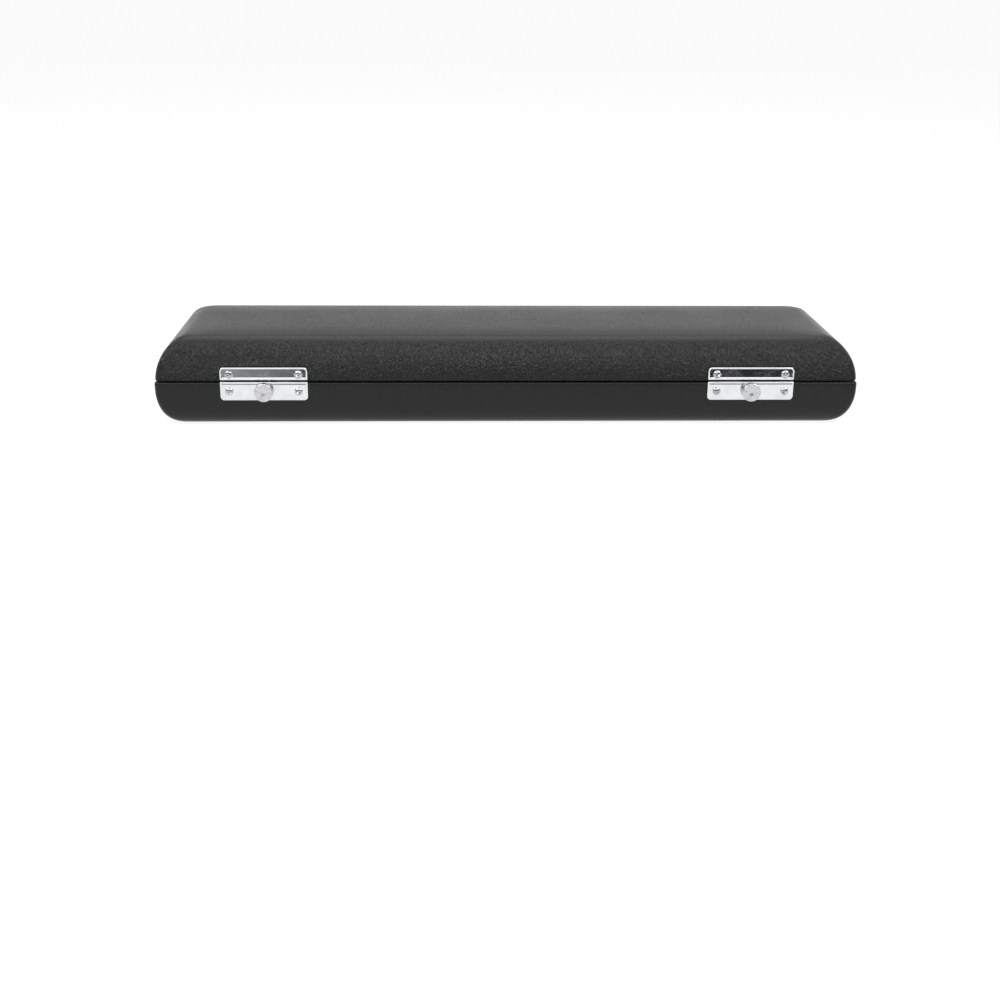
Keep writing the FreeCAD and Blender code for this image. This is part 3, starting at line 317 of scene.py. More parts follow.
metalLook = {
    "polishedPlate": {"colour": (0.75, 0.76, 0.77), "dull": (0.68, 0.69, 0.7), "roughness": (0.07, 0.15),
                      "lines": (150.0, 5000.0, 5000.0), "depth": 0.0012},
    "brightScrew": {"colour": (0.52, 0.525, 0.535), "dull": (0.32, 0.325, 0.335), "roughness": (0.1, 0.2),
                    "lines": (2600.0, 2600.0, 2600.0), "depth": 0.002},
    "zincSteel": {"colour": (0.56, 0.57, 0.6), "dull": (0.38, 0.385, 0.41), "roughness": (0.26, 0.42),
                  "lines": (400.0, 3800.0, 3800.0), "depth": 0.004},
}


def makeMetal(name):
    look = metalLook[name]
    material, tree, shader, place = newMaterial(name, Metallic=1.0)
    marks = placeGroup(tree, metalMarks, Position=place["Object"], LineScale=look["lines"], SmudgeSize=0.005)
    feed(tree, shader["Base Color"], blend(tree, marks["Smudges"], look["colour"], look["dull"]))
    worn = remap(tree, marks["Smudges"], 0.0, 1.0, *look["roughness"])
    feed(tree, shader["Roughness"], calculate(tree, "MULTIPLY_ADD", marks["Scratches"], 0.12, worn))
    bumpInto(tree, shader, marks["Lines"], look["depth"] * millimetre)
    return material


# the darker streak colour is painted reflection, the dim sectors of the spun face
knobLook = {"colour": (0.7, 0.7, 0.71), "reflectionStreakColour": (0.46, 0.46, 0.47), "roughness": (0.2, 0.38), "streaks": 13.0}


def makeSpunKnob(name, middle):
    # painted reflection: light and dark streaks run out from the knob's middle in its colour, over fine turned rings
    look = knobLook
    material, tree, shader, place = newMaterial(name, Metallic=1.0)
    centred = calculateVector(tree, "SUBTRACT", place["Object"], tuple(middle))
    parts = splitVector(tree, centred)
    sideways, upwards = parts[0], parts[2]
    radius = calculate(tree, "SQRT", weigh(tree, (sideways, sideways), (upwards, upwards)))
    direction = calculateVector(tree, "NORMALIZE", joinVector(tree, sideways, upwards))
    paintedReflectionStreak = noiseAt(tree, direction, look["streaks"], 3.0, 0.65)
    rings = noiseAt(tree, radius, 9000.0, 2.0, 0.5)
    shade = remap(tree, paintedReflectionStreak, 0.4, 0.6)
    feed(tree, shader["Base Color"], blend(tree, shade, look["colour"], look["reflectionStreakColour"]))
    feed(tree, shader["Roughness"], remap(tree, shade, 0.0, 1.0, *look["roughness"]))
    bumpInto(tree, shader, rings, 0.004 * millimetre)
    return material


leatherette = {half: makeLeatherette(half + "BlackLeatherette", leatheretteLook[half + "Grain"])
               for half in ("base", "lid")}
cradlePlushFinish = makePlush("cradlePlushFinish", plushLook["cradle"])
lidPlushFinish = makePlush("lidPlushFinish", plushLook["lid"])
shellBoard = makeSpeckled("shellBoard", boardLook, 0.8, 0.05)
cutFoam = makeSpeckled("cutFoam", foamLook, 0.95, 0.12)
polishedPlate = makeMetal("polishedPlate")
brightScrew = makeMetal("brightScrew")
zincSteel = makeMetal("zincSteel")
print("materials are ready")


# Mesh helpers

def setSmooth(mesh, sharpAngle, flatCorners=0):
    # faces with at least flatCorners corners are flat sheet, whose borders stay crisp
    for polygon in mesh.polygons:
        polygon.use_smooth = True
    mesh.set_sharp_from_angle(angle=math.radians(sharpAngle))
    if flatCorners:
        crisp = {key for polygon in mesh.polygons if len(polygon.vertices) >= flatCorners
                 for key in polygon.edge_keys}
        for edge in mesh.edges:
            if edge.key in crisp:
                edge.use_edge_sharp = True


def addObject(name, data):
    thing = bpy.data.objects.new(name, data)
    bpy.context.scene.collection.objects.link(thing)
    return thing


def addMesh(name, shape, weld=None):
    # shape is points in millimetres and faces, which get turned outwards; points closer than weld become one
    points, faces = shape
    mesh = bpy.data.meshes.new(name)
    mesh.from_pydata([Vector(point) * millimetre for point in points], [], faces)
    form = bmesh.new()
    form.from_mesh(mesh)
    if weld:
        bmesh.ops.remove_doubles(form, verts=form.verts, dist=weld * millimetre)
    bmesh.ops.recalc_face_normals(form, faces=form.faces)
    form.to_mesh(mesh)
    form.free()
    return addObject(name, mesh)


def makePiece(name, shape, body, material, node, sharpAngle=38.0):
    piece = addMesh(name, shape, 0.002)
    setSmooth(piece.data, sharpAngle)
    piece.data.materials.append(material)
    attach(piece, body)
    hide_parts(node)
    return piece


def applyModifiers(piece, sharpAngle=38.0, flatCorners=0):
    shape = piece.evaluated_get(bpy.context.evaluated_depsgraph_get())
    mesh = bpy.data.meshes.new_from_object(shape)
    piece.modifiers.clear()
    piece.data = mesh
    setSmooth(mesh, sharpAngle, flatCorners)


def quarterTurn(steps, first=0):
    # steps round a unit quarter circle: how far in and how far up each one is
    for step in range(first, steps + 1):
        angle = math.pi / 2 * step / steps
        yield 1 - math.cos(angle), math.sin(angle)


def ringPoints(halfLength, halfWidth, corner, height, steps):
    # one level of a rounded rectangle, always with the same number of points
    cornerSteps, longSteps, shortSteps = steps
    points, arcs = [], []
    for quarter, (signX, signY) in enumerate(((1, 1), (-1, 1), (-1, -1), (1, -1))):
        arc = []
        for step in range(cornerSteps + 1):
            angle = math.pi / 2 * (quarter + step / cornerSteps)
            arc.append((signX * (halfLength - corner) + corner * math.cos(angle),
                        signY * (halfWidth - corner) + corner * math.sin(angle), height))
        arcs.append(arc)
    for quarter in range(4):
        points += arcs[quarter]
        start, end = arcs[quarter][-1], arcs[(quarter + 1) % 4][0]
        sideSteps = longSteps if quarter % 2 == 0 else shortSteps
        for step in range(1, sideSteps):
            share = step / sideSteps
            points.append(tuple(start[axis] + (end[axis] - start[axis]) * share for axis in range(3)))
    return points


def loft(rings, closeStart=True, closeEnd=True):
    count = len(rings[0])
    points, faces = [point for ring in rings for point in ring], []
    for low in range(0, len(points) - count, count):
        for place in range(count):
            after = (place + 1) % count
            faces.append((low + place, low + after, low + count + after, low + count + place))
    if closeStart:
        faces.append(tuple(reversed(range(count))))
    if closeEnd:
        faces.append(tuple(range(len(points) - count, len(points))))
    return points, faces


def joinShapes(shapes):
    points, faces = [], []
    for morePoints, moreFaces in shapes:
        faces += [tuple(len(points) + place for place in face) for face in moreFaces]
        points += morePoints
    return points, faces


# The two halves of the case

caseForm = {
    "base": {"halfLength": 200.5, "halfWidth": 58.0, "rim": 25.85, "up": -1, "curveIn": 11.5, "curveUp": 21.7,
             "straight": 4.15, "rimCorner": 2.5, "farCorner": 7.7, "turnedIn": 7.3},
    "lid": {"halfLength": 200.0, "halfWidth": 57.5, "rim": 26.15, "up": 1, "curveIn": 17.5, "curveUp": 23.25,
            "straight": 0.0, "rimCorner": 2.5, "farCorner": 9.3, "turnedIn": 6.0, "top": 23.85},
    "swellSlope": 0.06,  # slope of the lid where its rounded edge runs into its swelling top
    "cornerReach": 26.0,
    "rimRound": {"base": 0.9, "lid": 1.3},
    "wrapThickness": 1.0,
    "turnedInCorner": 3.0,
    "curveSteps": 22, "lidSteps": 34,
    "steps": (10, 60, 18),  # round a corner, along a side, across an end
}


def startFrom(depth, levels):
    # leaves out the levels before a depth and starts with one right there
    before = [level for level in levels if level[1] < depth]
    after = [level for level in levels if level[1] >= depth]
    if before:
        low, high = before[-1], after[0]
        share = (depth - low[1]) / (high[1] - low[1])
        after.insert(0, tuple(low[entry] + (high[entry] - low[entry]) * share for entry in range(3)))
    return after


def layerLevels(half, side, far, rimCorner, farCorner, curveSteps, startDepth):
    # one layer of a half from its rim to its far face: how far in, how deep and what corner
    levels = [(side + (half["curveIn"] - side) * across, half["straight"] + (half["curveUp"] - far) * up,
               rimCorner + (farCorner - rimCorner) * across) for across, up in quarterTurn(curveSteps)]
    if half["straight"]:
        levels.insert(0, (side, 0.0, rimCorner))
    return startFrom(startDepth, levels)


def lidLevels(inset, startHeight, curveSteps):
    # the padded lid: a quarter ellipse that runs without a crease into the soft swell of its top
    half, slope = caseForm["lid"], caseForm["swellSlope"]
    across, up = half["curveIn"] - inset, half["curveUp"] - inset
    meeting = math.atan2(up, across * slope)
    levels = []
    for step in range(curveSteps + 1):
        angle = meeting * step / curveSteps
        fromEdge = across * (1 - math.cos(angle))
        levels.append((inset + fromEdge, up * math.sin(angle), fromEdge))
    start, height, fromEdge = levels[-1]
    rise = half["top"] - inset - height
    reach = 2 * rise / slope
    for share in (0.08, 0.18, 0.3, 0.45, 0.6, 0.8, 1.0):
        levels.append((start + reach * share, height + rise * (1 - (1 - share) ** 2), fromEdge + reach * share))
    levels = [(away, depth, half["rimCorner"] - inset + (half["farCorner"] - half["rimCorner"])
               * (1 - (1 - min(1.0, fromEdge / caseForm["cornerReach"])) ** 1.6))
              for away, depth, fromEdge in levels]
    return startFrom(startHeight, levels)


def levelRings(half, levels, steps=caseForm["steps"]):
    return [ringPoints(half["halfLength"] - inset, half["halfWidth"] - inset, corner,
                       half["rim"] + half["up"] * depth, steps) for inset, depth, corner in levels]


def makeWrap(halfName):
    half, thickness, rimRound = caseForm[halfName], caseForm["wrapThickness"], caseForm["rimRound"][halfName]
    if halfName == "lid":
        outer = lidLevels(0.0, rimRound, caseForm["lidSteps"])
        inner = lidLevels(thickness, thickness, 16)
    else:
        outer = layerLevels(half, 0.0, 0.0, half["rimCorner"], half["farCorner"], caseForm["curveSteps"], rimRound)
        inner = layerLevels(half, thickness, thickness, half["rimCorner"] - thickness,
                            half["farCorner"] - thickness, 12, thickness)
    edgeInset = outer[0][0]
    rimLevels = [(edgeInset + rimRound * (1 - up), rimRound * across,
                  half["rimCorner"] - 0.9 * rimRound * (1 - up) + 0.2)
                 for across, up in list(quarterTurn(6))[:-1]]
    turnedIn, corner = half["turnedIn"], caseForm["turnedInCorner"]
    levels = outer[::-1] + rimLevels[::-1] + [
        (turnedIn - 0.35, 0.0, corner), (turnedIn - 0.1, 0.1, corner), (turnedIn, 0.35, corner),
        (turnedIn, thickness, corner)] + inner
    return makePiece(halfName + "Leatherette", loft(levelRings(half, levels)), halfName, leatherette[halfName],
                     halfName + "_wrap")


def plateOutline(low, high, left, right, lowCorner, highCorner, steps=5):
    # rounded rectangle in the case's upright front plane, from its lower right corner round
    points = []
    for centreX, centreZ, corner, start in ((right, low, lowCorner, -90), (right, high, highCorner, 0),
                                            (left, high, highCorner, 90), (left, low, lowCorner, 180)):
        inX = centreX - corner if centreX == right else centreX + corner
        inZ = centreZ + corner if centreZ == low else centreZ - corner
        for step in range(steps + 1):
            angle = math.radians(start + 90 * step / steps)
            points.append((inX + corner * math.cos(angle), inZ + corner * math.sin(angle)))
    return points


def cutAway(piece, shapes, sharpAngle=38.0, flatCorners=0):
    cutters = addMesh("cutters", joinShapes(shapes))
    boolean = piece.modifiers.new("cut", "BOOLEAN")
    boolean.operation = "DIFFERENCE"
    boolean.solver = "EXACT"
    boolean.object = cutters
    applyModifiers(piece, sharpAngle, flatCorners)
    bpy.data.meshes.remove(cutters.data)


def cutWindows(piece, windows, sharpAngle=38.0, flatCorners=0):
    # each window: middle, half width, low, high, near face, far face, lower corner, upper corner
    shapes = []
    for middle, halfWidth, low, high, near, far, lowCorner, highCorner in windows:
        outline = plateOutline(low, high, middle - halfWidth, middle + halfWidth, lowCorner, highCorner)
        shapes.append(loft([[(x, y, z) for x, z in outline] for y in (near, far)]))
    cutAway(piece, shapes, sharpAngle, flatCorners)


windowForm = {
    "latchPlace": 138.6, "plateHalfWidth": 24.75, "plateFit": 0.15,
    "latchPlate": {"low": 15.8, "deep": 56.3, "corner": 2.2},
    "strikePlate": {"low": 27.5, "high": 34.8, "deep": 55.2, "corner": 2.2, "seamCorner": 0.6},
    "tongueSlot": {"offset": 10.8, "halfWidth": 4.15, "low": 18.0, "front": 56.9, "deep": 54.9},
    "hinge": {"place": 125.0, "halfWidth": 15.3, "baseLow": 15.35, "lidHigh": 36.15,
              "baseDeep": 56.3, "lidDeep": 55.2, "corner": 1.6},
    "outside": 66.0, "overBase": 30.0, "underLid": 22.0,  # cutters end here, clear of the skins
}


def makeCaseSkins():
    form = windowForm
    fit, halfWidth = form["plateFit"], form["plateHalfWidth"] + form["plateFit"]
    outside, overBase, underLid = form["outside"], form["overBase"], form["underLid"]
    plate, strike, slot, leaf = form["latchPlate"], form["strikePlate"], form["tongueSlot"], form["hinge"]
    baseSkin, lidSkin = makeWrap("base"), makeWrap("lid")
    baseCuts, lidCuts = [], []
    for way in sides.values():
        latch, hinge = way * form["latchPlace"], way * leaf["place"]
        tongue = way * (form["latchPlace"] - slot["offset"])
        baseCuts += [
            (latch, halfWidth, plate["low"] - fit, overBase, -outside, -plate["deep"], plate["corner"] + fit, 0.5),
            (tongue, slot["halfWidth"], slot["low"], overBase + 1, -slot["front"], -slot["deep"], 0.2, 0.2),
            (hinge, leaf["halfWidth"], leaf["baseLow"], overBase, leaf["baseDeep"], outside, leaf["corner"], 0.5)]
        lidCuts += [
            (latch, halfWidth, strike["low"] - fit, strike["high"] + fit, -outside, -strike["deep"],
             strike["seamCorner"] + fit, strike["corner"] + fit),
            (tongue, slot["halfWidth"], underLid, strike["low"], -outside, 0.3 - strike["deep"], 0.2, 0.2),
            (hinge, leaf["halfWidth"], underLid, leaf["lidHigh"], leaf["lidDeep"], outside, 0.5, leaf["corner"])]
    # the tongue slots run into the plates' windows, so they are a second cut
    for skin, cuts in ((baseSkin, baseCuts), (lidSkin, lidCuts)):
        cutWindows(skin, cuts[0::3] + cuts[2::3])
        cutWindows(skin, cuts[1::3])


makeCaseSkins()
print("case skins are made")


# Padding, lining and cushion of the lid

lidInside = {
    "paddingLevel": 19.65,  # above the lid rim
    "liningSide": 5.2, "liningFar": 7.8, "liningThickness": 0.9, "liningStart": 1.1,
    "liningCorners": (3.9, 6.9),
    "cushion": {"halfLength": 176.5, "halfWidth": 34.0, "corner": 10.0, "top": 40.5, "face": 37.5,
                "fill": 0.7, "clothCell": 1.6, "pressure": 4.0, "slack": 0.06, "reach": 1.6, "frames": 20},
}


def blowUp(shape, form):
    # runs the cover as cloth round its filling, glued down along its back, and gives back the puffed shape
    points, faces = shape
    mesh = bpy.data.meshes.new("coverStart")
    mesh.from_pydata([tuple(entry * millimetre for entry in point) for point in points], [], faces)
    cover = addObject("coverStart", mesh)
    cells = cover.modifiers.new("cells", "REMESH")
    cells.mode = "VOXEL"
    cells.voxel_size = form["clothCell"] * millimetre
    applyModifiers(cover)
    before = [corner.co.copy() for corner in cover.data.vertices]
    glued = cover.vertex_groups.new(name="glued")
    glued.add([number for number, corner in enumerate(before) if corner.z > (form["top"] - 0.5) * millimetre],
              1.0, "REPLACE")
    cloth = cover.modifiers.new("cloth", "CLOTH")
    settings, cache = cloth.settings, cloth.point_cache
    settings.use_pressure = True
    settings.uniform_pressure_force = form["pressure"]
    settings.shrink_min = -form["slack"]
    settings.effector_weights.gravity = 0.0
    settings.vertex_group_mass = "glued"
    cache.frame_start, cache.frame_end = 1, form["frames"]
    for frame in range(1, form["frames"] + 1):
        bpy.context.scene.frame_set(frame)
    puffed = cover.evaluated_get(bpy.context.evaluated_depsgraph_get()).to_mesh()
    reach = form["reach"] * millimetre
    moved = []
    for corner, start in zip(puffed.vertices, before):
        shift = corner.co - start
        if shift.length > reach:
            shift *= reach / shift.length
        moved.append(tuple(entry / millimetre for entry in start + shift))
    puffedFaces = [tuple(face.vertices) for face in cover.data.polygons]
    bpy.data.objects.remove(cover)
    bpy.context.scene.frame_set(1)
    return moved, puffedFaces


def makeLidInside():
    half, form = caseForm["lid"], lidInside
    skin = caseForm["wrapThickness"] + 0.1
    padLevels = lidLevels(skin, form["paddingLevel"], 40)
    foot = padLevels[0]
    padLevels = [(foot[0] + 0.3, foot[1], foot[2]), (foot[0] + 0.04, foot[1] + 0.15, foot[2])] + padLevels[1:]
    padding = makePiece("lidFoamPad", loft(levelRings(half, padLevels)), "lid", cutFoam, "lid_padding")

    side, far, thick, start = (form["lining" + part] for part in ("Side", "Far", "Thickness", "Start"))
    rimCorner, farCorner = form["liningCorners"]
    outside = layerLevels(half, side, far, rimCorner, farCorner, 16, start)
    inside = layerLevels(half, side + thick, far + thick, rimCorner - thick, farCorner - thick, 16, start + 0.3)
    turn = [(side + 0.12, start + 0.05, rimCorner), (side + 0.45, start, rimCorner - 0.4),
            (side + 0.8, start + 0.08, rimCorner - 0.8)]
    outside[0] = (outside[0][0], start + 0.2, outside[0][2])
    lining = loft(levelRings(half, outside[::-1] + turn + inside))
    makePiece("lidPlushLining", lining, "lid", lidPlushFinish, "lid_lining")

    form = form["cushion"]
    rings = []
    depth = form["top"] - form["face"]
    for grow, share in ((0.0, 0.0), (1.3, 0.12), (2.0, 0.35), (1.6, 0.52), (0.6, 0.68), (-1.4, 0.82),
                        (-5.0, 0.92), (-12.0, 0.975), (-22.0, 1.0)):
        rings.append(ringPoints(form["halfLength"] + grow, form["halfWidth"] + grow,
                                max(form["corner"] + grow * 0.4, 3.0), form["top"] - depth * share, (8, 60, 12)))
    shape = loft(rings)
    shape = blowUp(shape, form)
    cushion = makePiece("lidCushionPad", shape, "lid", lidPlushFinish, "lid_cushion", 60.0)
    soften = cushion.modifiers.new("soften", "SMOOTH")
    soften.factor = 0.5
    soften.iterations = 5
    applyModifiers(cushion, 60.0)


makeLidInside()
print("lid padding, lining and cushion are made")


# Cradle: foam block under a plush cover, with its troughs

cradleForm = {
    "plushTop": 29.05, "plushFoot": 24.95, "plushThickness": 1.1, "lipLength": 192.9, "lipWidth": 50.4,
    "lipCorner": 5.2, "blockTop": 27.85, "blockNeck": 24.76, "blockSide": 5.2, "blockFar": 5.2, "blockStart": 1.1,
    "blockCorners": (3.9, 6.9), "steps": (8, 40, 12),
    "edgeRound": 1.3,
    # middle along the case, middle across it, half length, half width, depth, bottom round
    "bodyTrough": (0.0, -26.4, 182.9, 18.5, 19.55, 13.0),
    "headTrough": (-70.9, 26.4, 112.0, 18.5, 19.55, 13.0),
    "footTrough": (114.5, 26.4, 68.4, 18.5, 19.55, 13.0),
    "rodGroove": (0.0, 0.0, 167.9, 3.5, 10.0, 3.4),
}


def troughRings(trough, top, grow, edgeRound):
    alongMiddle, acrossMiddle, halfLength, halfWidth, depth, bottomRound = trough
    halfLength, halfWidth = halfLength + grow, halfWidth + grow
    roundIn = min(bottomRound, halfWidth - 0.3)
    endRound = min(3.5, roundIn)
    rings = [(halfLength + edgeRound * (1 - up), halfWidth + edgeRound * (1 - up), min(1.5, halfWidth - 0.2),
              edgeRound * across) for across, up in quarterTurn(4)]
    straight = depth - bottomRound
    rings.append((halfLength, halfWidth, min(2.0, halfWidth - 0.2), max(straight * 0.5, edgeRound + 0.3)))
    for across, up in quarterTurn(12):
        width = halfWidth - roundIn * across
        rings.append((halfLength - endRound * across ** 2, width, min(2.0 + 2.0 * across, width - 0.1),
                      straight + bottomRound * up))
    made = []
    for length, width, corner, down in rings:
        ring = ringPoints(length, width, corner, top - down, (6, 40, 6))
        made.append([(x + alongMiddle, y + acrossMiddle, z) for x, y, z in ring])
    return made


def makeCradleTop(name, rings, top, grow, material, node, closeFoot):
    # outer rings end at the top's edge; the top is filled round the troughs' mouths
    shapes = [loft(rings, closeFoot, False)]
    size = len(shapes[0][0])
    borders = [range(size - len(rings[0]), size)]
    for troughName in ("bodyTrough", "headTrough", "footTrough", "rodGroove"):
        edgeRound = cradleForm["edgeRound"] * (0.5 if troughName == "rodGroove" else 1.0)
        troughRows = troughRings(cradleForm[troughName], top, grow, edgeRound)
        borders.append(range(size, size + len(troughRows[0])))
        shapes.append(loft(troughRows, closeStart=False))
        size += len(shapes[-1][0])
    points, faces = joinShapes(shapes)
    mesh = bpy.data.meshes.new(name)
    mesh.from_pydata(points, [], faces)
    form = bmesh.new()
    form.from_mesh(mesh)
    form.verts.ensure_lookup_table()
    edges = []
    for border in borders:
        for place, index in enumerate(border):
            first, second = form.verts[index], form.verts[border[(place + 1) % len(border)]]
            edges.append(form.edges.get((first, second)) or form.edges.new((first, second)))
    bmesh.ops.triangle_fill(form, use_beauty=True, use_dissolve=False, edges=edges)
    form.verts.index_update()
    points = [tuple(vert.co) for vert in form.verts]
    faces = [tuple(vert.index for vert in face.verts) for face in form.faces]
    form.free()
    bpy.data.meshes.remove(mesh)
    return makePiece(name, (points, faces), "base", material, node, 50.0)


def makeCradle():
    form, half = cradleForm, caseForm["base"]
    steps, edge, lipCorner = form["steps"], form["edgeRound"], form["lipCorner"]
    lipLength, lipWidth, top = form["lipLength"], form["lipWidth"], form["plushTop"]
    levels = [(0.0, form["plushFoot"])] + [(edge * across, top - edge + edge * up) for across, up in quarterTurn(5)]
    plushRings = [ringPoints(lipLength - inset, lipWidth - inset, lipCorner - inset, height, steps)
                  for inset, height in levels]
    plush = makeCradleTop("cradlePlushCover", plushRings, top, 0.0, cradlePlushFinish, "cradle_plush", False)
    thicken = plush.modifiers.new("pileThickness", "SOLIDIFY")
    thicken.thickness = form["plushThickness"] * millimetre * 0.9
    thicken.offset = -1.0
    applyModifiers(plush, 50.0)

    levels = layerLevels(half, form["blockSide"], form["blockFar"], *form["blockCorners"], 12, form["blockStart"])
    blockRings = levelRings(half, reversed(levels), steps)
    lipIn = form["plushThickness"] + 0.1
    for height in (form["blockNeck"], form["blockTop"]):
        blockRings.append(ringPoints(lipLength - lipIn, lipWidth - lipIn, 4.0, height, steps))
    makeCradleTop("cradleFoamBlock", blockRings, form["blockTop"], lipIn, cutFoam, "cradle_block", True)


makeCradle()
print("cradle is made")


# Latch plates, knobs and screws

plateForm = {
    "sheet": 0.8, "edgeRound": 0.55, "corner": 2.2, "seamCorner": 0.6,
    "latch": {"innerTop": 24.75, "panTop": 25.55, "rimSide": 0.75, "rimLow": 0.75, "rimTop": 1.0,
              "slope": 0.5, "raised": 0.09},
    "strike": {"border": 0.78, "lip": 1.4, "bevel": 0.22, "panelLow": 0.08, "panelTop": 0.66, "tongueFront": 56.7},
    "shankSlot": {"travel": 3.0, "radius": 2.0, "level": 21.15},
    "screws": {"spacing": 39.1, "hole": 1.15, "seat": 2.4, "latchLevel": 21.15, "strikeLevel": 30.9},
}


def millimetreBox(node):
    low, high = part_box(node)
    return low / millimetre, high / millimetre


def platePress(low, high, steps):
    # rings of a pressed sheet from the front: each is side, foot and top inset, depth, and two corners
    rings = []
    for side, foot, top, depth, lowCorner, highCorner in steps:
        shape = plateOutline(low.z + foot, high.z - top, low.x + side, high.x - side, lowCorner, highCorner, 6)
        rings.append([(x, depth(z) if callable(depth) else depth, z) for x, z in shape])
    return loft(rings)


def makeLatchPlate(side):
    name = side + "_latch_plate"
    form = plateForm["latch"]
    low, high = millimetreBox(name)
    face, seat, sheet, turn = low.y, high.y, plateForm["sheet"], plateForm["edgeRound"]
    corner, seamCorner = plateForm["corner"], plateForm["seamCorner"]
    innerTop = high.z - form["innerTop"]
    steps = [(sheet, sheet, innerTop, face + sheet, corner - sheet, 0.3),
             (sheet, sheet, innerTop, seat, corner - sheet, 0.3),
             (0.0, 0.0, 0.0, seat, corner, seamCorner)]
    raised, slope = form["raised"], form["slope"]
    for across, up in quarterTurn(6):
        inset = turn * across
        steps.append((inset, inset, inset, face + raised + (turn - raised) * (1 - up), corner - inset,
                      max(seamCorner - inset, 0.12)))
    for share in (-0.08, 0.0, 0.1, 0.9, 1.0, 1.08):
        grow = slope * share
        steps.append((form["rimSide"] + grow, form["rimLow"] + grow, form["rimTop"] + grow,
                      face + raised * (1 - min(max(share, 0.0), 1.0)), 1.1, 0.3))
    plate = makePiece(side + "LatchPlate", platePress(low, high, steps), "base", polishedPlate,
                      name, 30.0)
    middle = (low.x + high.x) / 2
    tongue, slot, screws = windowForm["tongueSlot"], plateForm["shankSlot"], plateForm["screws"]
    travel, radius, level, back = slot["travel"] / 2, slot["radius"], slot["level"], seat + 3
    cutWindows(plate, [(middle, (high.x - low.x) / 2 + 3, form["panTop"], 33.0, face + sheet, back, 0.3, 0.3)], 30.0)
    cutWindows(plate, [(middle - sides[side] * tongue["offset"], tongue["halfWidth"], form["innerTop"] - sheet, 33.0,
                        face + sheet, back, 0.2, 0.2),
                       (middle + sides[side] * travel, travel + radius, level - radius, level + radius, face - 2, back,
                        radius - 0.03, radius - 0.03)]
               + screwHoles(middle, screws["latchLevel"], face - 2, back, screws["hole"]), 30.0, 16)


def screwHoles(middle, level, near, far, radius):
    half = plateForm["screws"]["spacing"] / 2
    return [(middle + way * half, radius, level - radius, level + radius, near, far, radius * 0.99, radius * 0.99)
            for way in (-1, 1)]


def makeStrikePlate(side):
    name = side + "_strike_plate"
    form = plateForm["strike"]
    low, high = millimetreBox(name)
    face, seat, sheet, turn = low.y, high.y, plateForm["sheet"], plateForm["edgeRound"]
    corner, seamCorner = plateForm["corner"], plateForm["seamCorner"]
    border, lip, bevel = form["border"], form["lip"], form["bevel"]

    def panelDepth(height):
        # the sunk panel leans back towards its top
        share = (height - low.z - lip) / (high.z - border - low.z - lip)
        return face + form["panelLow"] + (form["panelTop"] - form["panelLow"]) * share

    steps = [(sheet, sheet, sheet, face + form["panelTop"] + sheet, seamCorner, corner - sheet),
             (sheet, sheet, sheet, seat, seamCorner, corner - sheet),
             (0.0, 0.0, 0.0, seat, seamCorner, corner)]
    for across, up in quarterTurn(6):
        inset = turn * across
        steps.append((inset, inset, inset, face + turn * (1 - up), max(seamCorner - inset, 0.12), corner - inset))
    panelCorner = corner - border
    steps += [(border - 0.1, lip - 0.1, border - 0.1, face, 0.9, panelCorner + 0.1),
              (border, lip, border, face + 0.03, 0.8, panelCorner),
              (border + bevel, lip + bevel, border + bevel, panelDepth, 0.7, panelCorner - 0.1),
              (border + bevel + 0.06, lip + bevel + 0.06, border + bevel + 0.06, panelDepth, 0.66,
               panelCorner - 0.15)]
    plate = makePiece(side + "StrikePlate", platePress(low, high, steps), "lid", polishedPlate,
                      name, 30.0)
    middle = (low.x + high.x) / 2
    tongue, screws = windowForm["tongueSlot"], plateForm["screws"]
    cutWindows(plate, [(middle - sides[side] * tongue["offset"], tongue["halfWidth"], low.z - 3, low.z + 2 * sheet,
                        -form["tongueFront"], seat + 3, 0.2, 0.2)]
               + screwHoles(middle, screws["strikeLevel"], face - 2, seat + 3, screws["hole"]), 30.0)
    cutWindows(plate, screwHoles(middle, screws["strikeLevel"], face - 2, face + 0.35, screws["seat"]), 30.0, 16)


def circle(steps):
    return [(math.cos(2 * math.pi * step / steps), math.sin(2 * math.pi * step / steps)) for step in range(steps)]


def turnOnLathe(profile, middleX, middleZ, steps):
    # profile runs from the axis out and back to the axis: radius and depth
    return loft([[(middleX + radius * x, depth, middleZ + radius * z) for x, z in circle(steps)]
                 for radius, depth in profile], False, False)


knobForm = {"shank": 1.75, "radius": 5.25, "back": -59.3, "edge": 0.4, "dish": 0.05, "dimple": 0.3}


def makeKnob(side):
    name = side + "_latch_knob"
    low, high = millimetreBox(name)
    shank, radius, back, edge, dish, dimple = knobForm.values()
    face = low.y
    profile = [(0.0, high.y), (shank - 0.12, high.y), (shank, high.y - 0.12), (shank, back), (radius - 0.3, back),
               (radius - 0.08, back - 0.08), (radius, back - 0.3), (radius, face + edge)]
    profile += [(radius - edge * across, face + edge * (1 - up)) for across, up in quarterTurn(5, 1)]
    profile += [(radius - edge - 0.25, face + 0.012), (radius * 0.5, face + dish * 0.8), (dimple + 0.1, face + dish),
                (dimple, face + dish + 0.06), (dimple * 0.5, face + dish + 0.1), (0.0, face + dish + 0.12)]
    middleX, middleZ = (low.x + high.x) / 2, (low.z + high.z) / 2
    finish = makeSpunKnob(side + "SpunKnob", Vector((middleX, face, middleZ)) * millimetre)
    makePiece(side + "LatchKnob", turnOnLathe(profile, middleX, middleZ, 72), side + "_slide", finish,
              name, 32.0)


